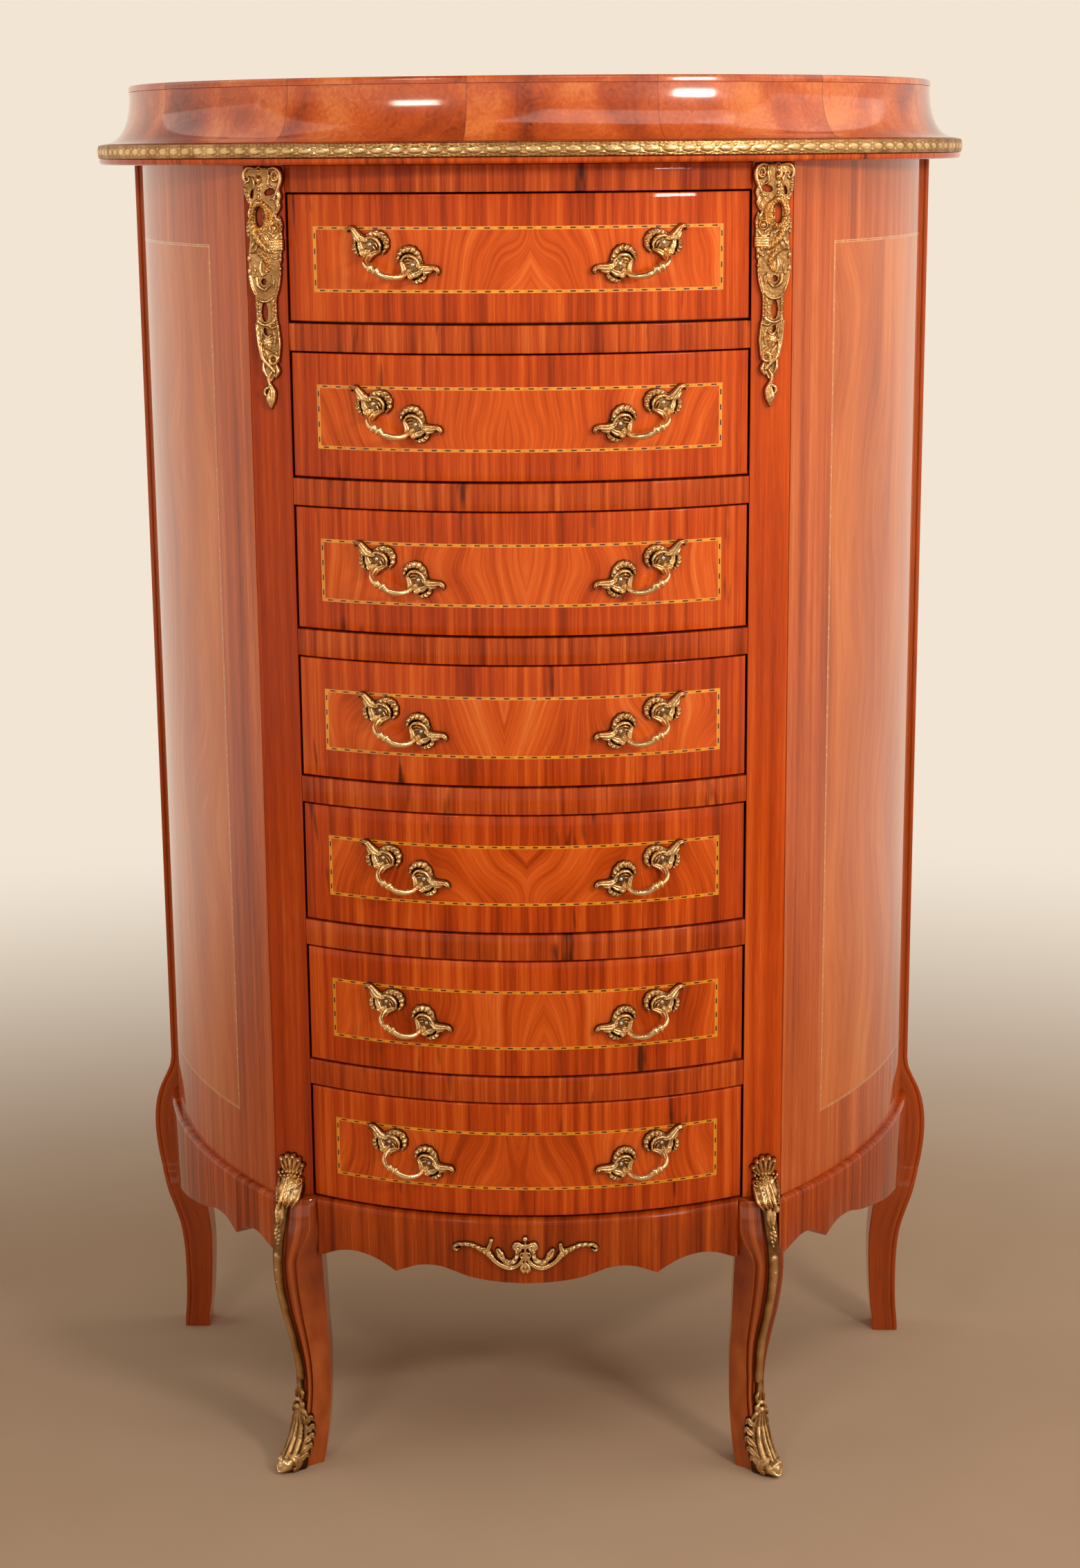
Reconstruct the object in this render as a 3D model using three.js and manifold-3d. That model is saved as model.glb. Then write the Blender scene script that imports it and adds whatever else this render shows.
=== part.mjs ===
// Demilune chest of seven drawers on cabriole legs, in millimetres.
// +X is to the right, +Y to the back and +Z up. The origin is on the floor, under the middle of its box.
// In plan the front bows out between two corner posts, and each side is one arc from its post to the back.
import * as THREE from 'three';
import { mergeVertices } from 'three/addons/utils/BufferGeometryUtils.js';
import Module from 'manifold-3d';

const wasm = await Module();
wasm.setup();
const degree = Math.PI / 180;

// Carcase
const drawerCount = 7;
const openingWidth = 392;
const openingHeight = 108.5;
const railHeight = 23;
const friezeHeight = 22.5;
const ledgeHeight = 260;
const bowSag = 52;
const caseDepth = 312;
const caseWidth = 742;
const sideLeadAngle = 48.2 * degree;
const jointGap = 0.3;

// Corner posts, side panels and back
const postFaceWidth = 35;
const postRake = 5;
const postDepth = 42;
const sideThickness = 16;
const stileWidth = 24;
const stileDepth = 22;
const stileProud = 3;
const backThickness = 8;
const backPanelDrop = 60;

// Rails, dust boards and drawer guides
const railDepth = 26;
const dustBoardThickness = 9;
const guideWidth = 12;
const guideHeight = 12;
const bottomBoardThickness = 18;

// Drawers
const frontClearance = 1.2;
const frontThickness = 20;
const frontBevel = 1;
const boxClearance = 1.8;
const boxWallThickness = 9;
const boxBottomThickness = 6;
const boxHeight = 88;
const boxBackClearance = 8;

// Pulls: a cast plate at each end of a bail, tilted down towards the middle of the chest
const pullOffsetShare = 0.5255;
const pullRise = 4;
const pullTilt = 24 * degree;
const pullScrewSpacing = 41;
const plateLength = 31;
const plateHeight = 21;
const plateThickness = 3;
const bailDrop = 15;
const bailProjection = 21;
const bailRadius = 2.5;
const bailRootInset = 4;

// Top: a base board with a brass band round its edge, a coved cap and a thin top panel
const topOverhang = 30;
const topWidth = 806;
const topRoundness = 2.2;
const baseBoardHeight = 18;
const baseLipHeight = 5;
const baseLipInset = 1.5;
const bandHeight = 12.2;
const bandThickness = 4;
const bandRound = 2;
const coveHeight = 46;
const coveInset = 31;
const topPanelThickness = 6;
const topPanelProud = 0.5;
const topPanelRound = 1.5;

// Aprons under the ledge
const apronThickness = 20;
const ledgeProjection = 7;
const ledgeRound = 4;
const apronDepth = 60;

// Front legs, from the floor up: rows of height, sideways swing, width and forward swing shares
const frontLegTopWidth = 37.5;
const frontLegSwing = 12;
const frontLegChamfer = 7;
const frontLegFaceShare = 0.55;
const frontLegCantShare = 0.33;
const frontLegCentreInset = 12.75;
const frontLegTopSetback = 12;
const legTopChamfer = 2.5;
const frontLegShares = [
  [0, -0.112, 0.821, 1.196], [0.035, -0.179, 0.885, 0.971], [0.077, -0.346, 0.859, 0.763],
  [0.135, -0.492, 0.845, 0.45], [0.192, -0.575, 0.845, 0.117], [0.25, -0.658, 0.819, -0.092],
  [0.308, -0.658, 0.819, -0.258], [0.369, -0.596, 0.859, -0.362], [0.438, -0.45, 0.925, -0.342],
  [0.5, -0.283, 0.979, -0.217], [0.565, -0.117, 1.059, -0.092], [0.627, 0.008, 1.112, 0.033],
  [0.692, 0.112, 1.152, 0.179], [0.75, 0.167, 1.16, 0.275], [0.8, 0.188, 1.131, 0.338],
  [0.858, 0.158, 1.096, 0.308], [0.935, 0.062, 1.04, 0.146], [0.99, 0, 1, 0],
];

// Back legs: rows of height share of the ledge, outer swing share, inner swing share and depth share
const kneeSwell = 20;
const backLegDepth = 30;
const backLegShares = [
  [0, -0.23, -0.3, 0.93], [0.03, -0.25, -0.3, 0.93], [0.115, -0.35, -0.45, 0.96], [0.23, -0.4, -0.55, 1],
  [0.354, -0.35, -0.6, 1], [0.442, -0.2, -0.55, 1], [0.508, 0.05, -0.45, 1], [0.577, 0.35, -0.3, 1],
  [0.635, 0.55, -0.15, 0.92], [0.68, 0.7, -0.05, 0.72], [0.781, 0.9, 0, 0.72], [0.865, 0.95, 0, 0.72],
  [0.942, 0.85, 0, 0.72], [1, 0.65, 0, 0.72], [1.058, 0.3, 0, 0.72], [1.096, 0.08, 0, 0.72],
  [1.135, 0, 0, 0.72],
];

// Brass mounts
const mountThickness = 4;
const cornerMountHeight = 203;
const cornerMountWidth = 34.5;
const cornerMountDrop = 1;
const mountHoleWidth = 7;
const mountHoleHeight = 12;
const apronMountWidth = 132;
const apronMountHeight = 36;
const apronMountDrop = 13;
const stripWidth = 9;
const stripThickness = 2.6;
const stripFootShare = 0.308;
const flowerHeight = 42;
const flowerWidth = 26;
const flowerThickness = 9;
const neckFootShare = 0.858;
const sabotHeightShare = 0.308;
const sabotThickness = 2.2;
const sabotWrap = 18;
const toeReach = 18;
const toeSpread = 7;

// Outlines as shares of the sizes above
const frontApronShares = [
  [0, 1], [0.13, 0.98], [0.26, 0.92], [0.33, 0.85], [0.39, 0.79], [0.45, 0.775], [0.51, 0.8],
  [0.56, 0.86], [0.617, 0.94], [0.66, 0.86], [0.73, 0.76], [0.82, 0.715], [0.9, 0.76], [1, 0.9],
  [1.08, 0.9],
];
const sideApronShares = [
  [0, 0.87], [0.08, 0.72], [0.14, 0.78], [0.2, 0.97], [0.26, 0.83], [0.33, 0.82], [0.42, 0.95],
  [0.55, 1.1], [0.64, 1.2], [0.78, 1.28], [0.91, 1.22], [1, 1.17],
];
const coveShares = [0, 0.25, 0.45, 0.62, 0.75, 0.85, 0.92, 0.97, 1];
const coveCurveShare = 2.3;
const plateShares = [
  [-0.38, 0.25], [-0.25, 0.46], [-0.05, 0.54], [0.12, 0.42], [0.24, 0.26], [0.4, 0.2], [0.55, 0.3],
  [0.62, 0.18], [0.56, 0.02], [0.4, -0.08], [0.26, -0.24], [0.1, -0.38], [-0.12, -0.42], [-0.3, -0.3],
  [-0.4, -0.06],
];
const cornerMountShares = [
  [0, 1], [0.455, 1], [0.485, 0.93], [0.525, 0.73], [0.57, 0.6], [0.625, 0.6], [0.7, 0.65], [0.74, 0.6],
  [0.795, 0.46], [0.85, 0.38], [0.88, 0.28], [0.94, 0.31], [0.98, 0.14],
];
const cornerMountHoleShares = [[0.12, 0.35], [0.21, -0.3], [0.585, 0]];
const apronMountShares = [
  [0, 0, 1], [0.09, 0.06, 0.89], [0.15, 0.14, 0.58], [0.24, 0.08, 0.36], [0.36, 0.07, 0.3],
  [0.5, 0.17, 0.5], [0.64, 0.31, 0.56], [0.79, 0.42, 0.58], [0.91, 0.45, 0.58], [1, 0.39, 0.5],
];

// Flower head, from its bottom up: rows of rise share, width share, thickness share and inset share
const flowerShares = [
  [0, 0.7, 1.55, 0.46], [0.17, 0.92, 1.3, 0.54], [0.4, 1, 1, 0.58], [0.64, 0.95, 0.75, 0.58],
  [0.86, 0.86, 0.85, 0.56], [1, 0.5, 0.6, 0.54],
];
const neckShares = [[0.858, 0.38], [0.9, 0.46], [0.935, 0.56]];

// Counts of facets
const bowSteps = 14;
const sideSteps = 16;
const topSteps = 44;
const bailSteps = 9;
const bailSides = 6;

// Places that follow from the sizes
const halfOpening = openingWidth / 2;
const pullOffset = halfOpening * pullOffsetShare;
const halfCase = caseWidth / 2;
const halfTop = topWidth / 2;
const frontReach = bowSag + topOverhang;
const cornerY = (frontReach - caseDepth) / 2;
const backY = cornerY + caseDepth;
const panelFrontY = backY - backThickness;
const stileFrontY = backY - stileDepth;
const stileOuterX = halfCase + stileProud;
const stileInnerX = stileOuterX - stileWidth;
const openingPitch = openingHeight + railHeight;
const friezeZ = ledgeHeight + drawerCount * openingPitch - railHeight;
const caseTopZ = friezeZ + friezeHeight;
const bowRadius = (halfOpening ** 2 + bowSag ** 2) / (2 * bowSag);
const bowCentreY = cornerY + bowRadius - bowSag;
const apronInner = ledgeProjection - apronThickness;
const legInnerX = halfOpening - (frontLegTopWidth - 2 * frontLegCentreInset) / 2;
const legTopCentreX = legInnerX + frontLegTopWidth / 2;
const legTopCentreY = cornerY - frontLegTopSetback + frontLegTopWidth / 2;
const boardHalf = halfOpening + guideWidth;
const guideFrontY = cornerY + postDepth + jointGap;

// Each side is an arc that leaves the corner post at its lead angle and ends at the back
const corner = new THREE.Vector2(halfOpening + postFaceWidth, cornerY + postRake);
const sideChord = new THREE.Vector2(halfCase, backY).sub(corner);
const sideTurn = sideChord.angle() - sideLeadAngle;
const sideRadius = sideChord.length() / (2 * Math.sin(sideTurn));
const sideCentre = new THREE.Vector2(
  corner.x - sideRadius * Math.sin(sideLeadAngle),
  corner.y + sideRadius * Math.cos(sideLeadAngle),
);

// y of the front's arc at one x, moved out by a distance
function bowY(x, outward) {
  const radius = bowRadius + outward;
  return bowCentreY - Math.sqrt(radius * radius - x * x);
}

// point of the right side's arc where it runs at an angle to +X, moved out by a distance
function sidePoint(angle, outward) {
  const radius = sideRadius + outward;
  return new THREE.Vector2(radius * Math.sin(angle), -radius * Math.cos(angle)).add(sideCentre);
}

function sideAngleAtY(y, outward) {
  return Math.acos((sideCentre.y - y) / (sideRadius + outward));
}

// value of a table of rows at one place along its first column
function along(rows, place, column) {
  const last = rows.length - 1;
  let row = 0;
  while (row < last - 1 && rows[row + 1][0] < place) row += 1;
  const [from, to] = [rows[row], rows[row + 1]];
  const part = THREE.MathUtils.clamp((place - from[0]) / (to[0] - from[0]), 0, 1);
  return THREE.MathUtils.lerp(from[column], to[column], part);
}

function steps(count) {
  return Array.from({ length: count + 1 }, (_, step) => step / count);
}

// Area vector of a ring of points, which points along the ring's normal
function ringNormal(ring) {
  const normal = new THREE.Vector3();
  ring.forEach((point, k) => {
    const next = ring[(k + 1) % ring.length];
    normal.add(new THREE.Vector3().crossVectors(point, next));
  });
  return normal;
}

// Triangles that close a ring: its outline is cut into triangles on the plane that shows it widest
function capTriangles(ring) {
  const normal = ringNormal(ring);
  const size = [Math.abs(normal.x), Math.abs(normal.y), Math.abs(normal.z)];
  const drop = size.indexOf(Math.max(...size));
  const flat = ring.map((p) => {
    const values = p.toArray().filter((_, axis) => axis !== drop);
    return new THREE.Vector2(...values);
  });
  return THREE.ShapeUtils.triangulateShape(flat, []).map(([a, b, c]) => {
    const facing = ringNormal([ring[a], ring[b], ring[c]]).dot(normal);
    return facing > 0 ? [a, b, c] : [a, c, b];
  });
}

// Closed solid through rings that have as many points each, capped at both ends
function loft(rings) {
  const count = rings[0].length;
  const index = [];
  for (let r = 0; r < rings.length - 1; r += 1) {
    for (let k = 0; k < count; k += 1) {
      const a = r * count + k;
      const b = r * count + ((k + 1) % count);
      index.push(a, b, b + count, a, b + count, a + count);
    }
  }
  const end = (rings.length - 1) * count;
  capTriangles(rings[0]).forEach(([a, b, c]) => index.push(a, c, b));
  capTriangles(rings[rings.length - 1]).forEach(([a, b, c]) => index.push(end + a, end + b, end + c));
  const places = rings.flat().flatMap((point) => point.toArray());
  const geometry = new THREE.BufferGeometry();
  geometry.setAttribute('position', new THREE.Float32BufferAttribute(places, 3));
  geometry.setIndex(index);
  return outward(geometry);
}

// The same solid with its faces pointing out, whichever way its rings ran
function outward(geometry) {
  const position = geometry.attributes.position;
  const index = Array.from(geometry.index.array);
  const [a, b, c] = [new THREE.Vector3(), new THREE.Vector3(), new THREE.Vector3()];
  let volume = 0;
  for (let k = 0; k < index.length; k += 3) {
    a.fromBufferAttribute(position, index[k]);
    b.fromBufferAttribute(position, index[k + 1]);
    c.fromBufferAttribute(position, index[k + 2]);
    volume += a.dot(b.cross(c));
  }
  if (volume < 0) index.reverse();
  geometry.setIndex(index);
  return geometry;
}

// Upright solid over a plan outline, from one height to another
function prism(outline, bottom, top) {
  const settings = { depth: top - bottom, bevelEnabled: false };
  return new THREE.ExtrudeGeometry(new THREE.Shape(outline), settings).translate(0, 0, bottom);
}

function block(low, high) {
  const size = new THREE.Vector3().subVectors(high, low);
  const middle = new THREE.Vector3().addVectors(low, high).multiplyScalar(1 / 2);
  return new THREE.BoxGeometry(size.x, size.y, size.z).translate(middle.x, middle.y, middle.z);
}

function mirrored(geometry) {
  const copy = geometry.clone().scale(-1, 1, 1);
  return outward(copy.index ? copy : mergeVertices(copy));
}

// Exact cuts and joins
function solid(geometry) {
  const bare = geometry.clone();
  bare.deleteAttribute('normal');
  bare.deleteAttribute('uv');
  const merged = mergeVertices(bare);
  const mesh = new wasm.Mesh({
    numProp: 3,
    vertProperties: new Float32Array(merged.attributes.position.array),
    triVerts: new Uint32Array(merged.index.array),
  });
  return new wasm.Manifold(mesh);
}

function fromSolid(body) {
  const mesh = body.getMesh();
  const geometry = new THREE.BufferGeometry();
  geometry.setAttribute('position', new THREE.BufferAttribute(new Float32Array(mesh.vertProperties), 3));
  geometry.setIndex(new THREE.BufferAttribute(new Uint32Array(mesh.triVerts), 1));
  return geometry;
}

function cut(geometry, ...tools) {
  return fromSolid(tools.reduce((body, tool) => body.subtract(solid(tool)), solid(geometry)));
}

function join(geometry, ...others) {
  return fromSolid(others.reduce((body, other) => body.add(solid(other)), solid(geometry)));
}

// Materials
function finish(color, roughness, metalness) {
  return new THREE.MeshStandardMaterial({ color, roughness, metalness });
}
const veneer = finish(0xb5521f, 0.22, 0);
const panelVeneer = finish(0xbc6030, 0.24, 0);
const burr = finish(0xa9491c, 0.2, 0);
const legWood = finish(0x8f3d16, 0.3, 0);
const softwood = finish(0xc49a66, 0.7, 0);
const brass = finish(0xa88545, 0.4, 1);

const chest = new THREE.Group();
chest.name = 'demilune_chest';

function place(name, geometry, material, parent = chest) {
  const mesh = new THREE.Mesh(geometry, material);
  mesh.name = name;
  parent.add(mesh);
  return mesh;
}

function placePair(name, geometry, material) {
  place(`${name}_right`, geometry, material);
  place(`${name}_left`, mirrored(geometry), material);
}

// Plan points of the front's arc from left to right, within a half width
function bowPoints(half, outwardBy) {
  return steps(bowSteps).map((part) => {
    const x = THREE.MathUtils.lerp(-half, half, part);
    return new THREE.Vector2(x, bowY(x, outwardBy));
  });
}

// Corner posts
function cornerPost() {
  const inner = sidePoint(sideLeadAngle, -sideThickness);
  const outline = [
    new THREE.Vector2(halfOpening, cornerY),
    corner,
    inner,
    new THREE.Vector2(inner.x, cornerY + postDepth),
    new THREE.Vector2(halfOpening, cornerY + postDepth),
  ];
  return prism(outline, ledgeHeight + jointGap, caseTopZ - jointGap);
}

// A curved wall along the right side, whose upright section is a function of its place and its offsets
function sideWall(startAngle, outer, inner, section) {
  const endY = stileFrontY - jointGap;
  const endOuter = sideAngleAtY(endY, outer);
  const endInner = sideAngleAtY(endY, inner);
  return loft(steps(sideSteps).map((part) => {
    const outerAngle = THREE.MathUtils.lerp(startAngle, endOuter, part);
    const innerAngle = THREE.MathUtils.lerp(startAngle, endInner, part);
    return section(part, outerAngle, innerAngle);
  }));
}

function upright(point, z) {
  return new THREE.Vector3(point.x, point.y, z);
}

function sidePanel() {
  const startAngle = sideLeadAngle + jointGap / sideRadius;
  const bottom = ledgeHeight + jointGap;
  const top = caseTopZ - jointGap;
  return sideWall(startAngle, 0, -sideThickness, (part, outerAngle, innerAngle) => {
    const outer = sidePoint(outerAngle, 0);
    const inner = sidePoint(innerAngle, -sideThickness);
    return [upright(outer, bottom), upright(outer, top), upright(inner, top), upright(inner, bottom)];
  });
}

// Section of an apron: inner offset, outer offset with a rounded ledge, and the height of its bottom edge
const ledgeRoundShares = [[0, 1], [0.3, 0.3], [1, 0]];

function apronSection(pointAt, bottom) {
  const ring = [upright(pointAt(apronInner), bottom), upright(pointAt(ledgeProjection), bottom)];
  ledgeRoundShares.forEach(([inset, drop]) => {
    ring.push(upright(pointAt(ledgeProjection - inset * ledgeRound), ledgeHeight - drop * ledgeRound));
  });
  ring.push(upright(pointAt(apronInner), ledgeHeight));
  return ring;
}

function frontApron() {
  const half = legInnerX;
  const leg = frontLeg(jointGap);
  const rightShares = frontApronShares.map(([at]) => at);
  const leftShares = rightShares.slice(1).reverse().map((at) => -at);
  const board = loft([...leftShares, ...rightShares].map((at) => {
    const x = at * half;
    const bottom = ledgeHeight - apronDepth * along(frontApronShares, Math.abs(at), 1);
    return apronSection((offset) => new THREE.Vector2(x, bowY(x, offset)), bottom);
  }));
  return cut(board, leg, mirrored(leg));
}

function sideApron() {
  const endY = stileFrontY - jointGap;
  const rows = sideApronShares.map(([part, drop]) => {
    const bottom = ledgeHeight - apronDepth * drop;
    return apronSection((offset) => {
      const endAngle = sideAngleAtY(endY, offset);
      return sidePoint(THREE.MathUtils.lerp(sideLeadAngle, endAngle, part), offset);
    }, bottom);
  });
  return cut(loft(rows), frontLeg(jointGap));
}

// Front leg: two moulded faces meet at an outer corner, which is cut flat for the brass strip, and a canted
// face runs back from each of them. The section swings out and forward on its way down.
function frontLegAt(share) {
  const swing = frontLegSwing * along(frontLegShares, share, 1);
  const half = (frontLegTopWidth * along(frontLegShares, share, 2)) / 2;
  const centreX = legTopCentreX + swing;
  const centreY = legTopCentreY - frontLegSwing * along(frontLegShares, share, 3);
  return { outer: centreX + half, inner: centreX - half, front: centreY - half, back: centreY + half };
}

function legRing(section, z, grow, inset) {
  const outer = section.outer + grow - inset;
  const inner = section.inner - grow;
  const front = section.front - grow + inset;
  const back = section.back + grow;
  const face = (section.outer - section.inner) * frontLegFaceShare + grow;
  const cant = (section.outer - section.inner) * frontLegCantShare;
  return [
    new THREE.Vector3(inner, front + cant, z),
    new THREE.Vector3(outer - face, front, z),
    new THREE.Vector3(outer - frontLegChamfer, front, z),
    new THREE.Vector3(outer, front + frontLegChamfer, z),
    new THREE.Vector3(outer, front + face, z),
    new THREE.Vector3(outer - cant, back, z),
    new THREE.Vector3(inner, back, z),
  ];
}

function frontLeg(grow) {
  const rings = frontLegShares.map(([share]) => legRing(frontLegAt(share), share * ledgeHeight, grow, 0));
  const top = ledgeHeight + grow;
  rings.push(legRing(frontLegAt(1), top, grow, legTopChamfer));
  return loft(rings);
}

// Back leg with the rear stile that it grows out of
function backLeg() {
  const rings = backLegShares.map(([share, outerSwing, innerSwing, depthPart]) => {
    const outer = stileOuterX + kneeSwell * outerSwing;
    const inner = stileInnerX + kneeSwell * innerSwing;
    const depth = depthPart * backLegDepth;
    return backLegRing(outer, inner, backY - Math.max(depth, stileDepth), share * ledgeHeight);
  });
  rings.push(backLegRing(stileOuterX, stileInnerX, stileFrontY, caseTopZ - jointGap));
  return loft(rings);
}

function backLegRing(outer, inner, front, z) {
  return [
    new THREE.Vector3(inner, front, z),
    new THREE.Vector3(outer, front, z),
    new THREE.Vector3(outer, backY, z),
    new THREE.Vector3(inner, backY, z),
  ];
}

function backPanel() {
  const half = stileInnerX - jointGap;
  return block(
    new THREE.Vector3(-half, panelFrontY, ledgeHeight - backPanelDrop),
    new THREE.Vector3(half, backY, caseTopZ - jointGap),
  );
}

// Drawer guides that stand on a board, one each side, behind the corner posts
function guides(floorZ) {
  const inner = halfOpening + jointGap;
  const right = block(
    new THREE.Vector3(inner, guideFrontY, floorZ - dustBoardThickness / 2),
    new THREE.Vector3(boardHalf, panelFrontY - jointGap, floorZ + guideHeight),
  );
  return [right, mirrored(right)];
}

// Plan of a rail that follows the front's bow
function railPlan() {
  const half = halfOpening - jointGap;
  const backEdge = cornerY + railDepth;
  return [...bowPoints(half, 0), new THREE.Vector2(half, backEdge), new THREE.Vector2(-half, backEdge)];
}

// Rail between two drawers, with the dust board and the guides that the upper drawer runs on
function divider() {
  const half = halfOpening - jointGap;
  const rail = prism(railPlan(), -railHeight, 0);
  const neck = block(
    new THREE.Vector3(-half, cornerY + railDepth / 2, -dustBoardThickness),
    new THREE.Vector3(half, guideFrontY + guideWidth, 0),
  );
  const board = block(
    new THREE.Vector3(-boardHalf, guideFrontY, -dustBoardThickness),
    new THREE.Vector3(boardHalf, panelFrontY - jointGap, 0),
  );
  return join(rail, neck, board, ...guides(0));
}

function friezeRail() {
  return prism(railPlan(), friezeZ, caseTopZ - jointGap);
}

// Board inside the aprons, notched round the front legs and the rear stiles
function bottomBoard() {
  const offset = apronInner - jointGap;
  const endAngle = sideAngleAtY(stileFrontY - jointGap, offset);
  const right = sideApronShares.map(([part]) => {
    return sidePoint(THREE.MathUtils.lerp(sideLeadAngle, endAngle, part), offset);
  });
  right.push(new THREE.Vector2(stileInnerX - jointGap, stileFrontY - jointGap));
  right.push(new THREE.Vector2(stileInnerX - jointGap, panelFrontY - jointGap));
  const left = right.map((point) => new THREE.Vector2(-point.x, point.y)).reverse();
  const plan = [...bowPoints(halfOpening, offset), ...right, ...left];
  const leg = frontLeg(jointGap);
  const board = cut(prism(plan, ledgeHeight - bottomBoardThickness, ledgeHeight), leg, mirrored(leg));
  return join(board, ...guides(ledgeHeight));
}

// Top outline: a half superellipse from the back right corner round the front, set in by a distance
function topOutline(inset) {
  const halfWidth = halfTop - inset;
  const depth = caseDepth + frontReach - inset;
  return steps(topSteps).map((part) => {
    const angle = Math.PI * part;
    const across = Math.sign(Math.cos(angle)) * Math.abs(Math.cos(angle)) ** (2 / topRoundness);
    const forward = Math.abs(Math.sin(angle)) ** (2 / topRoundness);
    return new THREE.Vector2(halfWidth * across, backY - depth * forward);
  });
}

function topRing(inset, z) {
  return topOutline(inset).map((point) => upright(point, z));
}

function baseBoard() {
  const bandInset = bandThickness + jointGap;
  const lipZ = caseTopZ + baseLipHeight;
  return loft([
    topRing(baseLipInset * 2, caseTopZ),
    topRing(baseLipInset, lipZ - baseLipInset),
    topRing(baseLipInset, lipZ),
    topRing(bandInset, lipZ),
    topRing(bandInset, caseTopZ + baseBoardHeight),
  ]);
}

function brassBand() {
  const bottom = caseTopZ + baseLipHeight + jointGap;
  const top = bottom + bandHeight;
  const face = [
    [bandThickness, bottom], [bandRound / 2, bottom], [0, bottom + bandRound],
    [0, top - bandRound], [bandRound / 2, top], [bandThickness, top],
  ];
  const outlines = face.map(([inset]) => topOutline(inset));
  return loft(steps(topSteps).map((_, station) => {
    return face.map(([, z], row) => upright(outlines[row][station], z));
  }));
}

function coveCap() {
  const bottom = caseTopZ + baseBoardHeight + jointGap;
  const height = coveHeight - jointGap;
  return loft(coveShares.map((drop) => {
    const swell = 1 - (1 - drop ** coveCurveShare) ** (1 / coveCurveShare);
    const inset = THREE.MathUtils.lerp(coveInset, bandThickness + jointGap, swell);
    return topRing(inset, bottom + height * (1 - drop));
  }));
}

function topPanel() {
  const bottom = caseTopZ + baseBoardHeight + coveHeight + jointGap;
  const top = caseTopZ + baseBoardHeight + coveHeight + topPanelThickness;
  const inset = coveInset - topPanelProud;
  return loft([
    topRing(inset, bottom),
    topRing(inset, top - topPanelRound),
    topRing(inset + topPanelRound, top),
  ]);
}

// Drawer front: a bowed slab with its front edges bevelled
function drawerFront() {
  const half = halfOpening - frontClearance;
  const bottom = frontClearance;
  const top = openingHeight - frontClearance;
  const face = half - frontBevel;
  const inner = steps(bowSteps).map((part) => THREE.MathUtils.lerp(-face, face, part));
  return loft([-half, ...inner, half].map((x) => {
    const edgeBevel = Math.abs(x) < half ? 0 : frontBevel;
    const outerY = bowY(x, 0) + edgeBevel;
    const backFaceY = bowY(x, -frontThickness);
    return [
      new THREE.Vector3(x, backFaceY, bottom),
      new THREE.Vector3(x, outerY + frontBevel, bottom),
      new THREE.Vector3(x, outerY, bottom + frontBevel),
      new THREE.Vector3(x, outerY, top - frontBevel),
      new THREE.Vector3(x, outerY + frontBevel, top),
      new THREE.Vector3(x, backFaceY, top),
    ];
  }));
}

// Drawer box: two sides, a back and a bottom, open at the front where the drawer front closes it
function drawerBox() {
  const half = halfOpening - boxClearance;
  const backEdge = panelFrontY - boxBackClearance;
  const innerHalf = half - boxWallThickness;
  const offset = -frontThickness - jointGap;
  const backCorners = [new THREE.Vector2(half, backEdge), new THREE.Vector2(-half, backEdge)];
  const body = prism([...bowPoints(half, offset), ...backCorners], jointGap, boxHeight);
  const hollow = block(
    new THREE.Vector3(-innerHalf, cornerY - frontReach, jointGap + boxBottomThickness),
    new THREE.Vector3(innerHalf, backEdge - boxWallThickness, openingHeight),
  );
  return cut(body, hollow);
}

// Pull: its plates lie on the drawer front, and its bail hangs below the screws and stands out
function pullPlate() {
  const outline = plateShares.map(([across, up]) => {
    return new THREE.Vector2(pullScrewSpacing / 2 + across * plateLength, up * plateHeight);
  });
  return prism(outline, 0, plateThickness).rotateX(Math.PI / 2);
}

function bail() {
  const half = pullScrewSpacing / 2 - bailRootInset;
  const turn = new THREE.Vector3();
  const rings = steps(bailSteps).map((part) => {
    const angle = Math.PI * part;
    const centre = bailPoint(half, angle);
    const ahead = bailPoint(half, angle + degree);
    turn.subVectors(ahead, centre).normalize();
    const side = new THREE.Vector3(0, 1, 0).cross(turn).normalize();
    const lift = new THREE.Vector3().crossVectors(turn, side);
    return steps(bailSides).slice(1).map((share) => {
      const around = 2 * Math.PI * share;
      const reach = side.clone().multiplyScalar(bailRadius * Math.cos(around));
      return reach.addScaledVector(lift, bailRadius * Math.sin(around)).add(centre);
    });
  });
  return loft(rings);
}

function bailPoint(half, angle) {
  const rise = Math.sin(angle);
  const root = plateThickness / 2;
  const out = root + (bailProjection - bailRadius - root) * Math.sqrt(Math.abs(rise));
  return new THREE.Vector3(-half * Math.cos(angle), -out, -bailDrop * rise);
}

function pull() {
  const plate = pullPlate();
  return join(plate, mirrored(plate), bail());
}

function hangPull(drawer, name, sideSign, geometry) {
  const x = sideSign * pullOffset;
  const lean = Math.asin(x / bowRadius);
  const seatX = x + jointGap * Math.sin(lean);
  const seatY = bowY(x, 0) - jointGap * Math.cos(lean);
  const seat = new THREE.Group();
  seat.position.set(seatX, seatY, openingHeight / 2 + pullRise);
  seat.rotation.z = lean;
  drawer.add(seat);
  const mesh = place(name, geometry, brass, seat);
  mesh.rotation.y = -sideSign * pullTilt;
}

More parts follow.
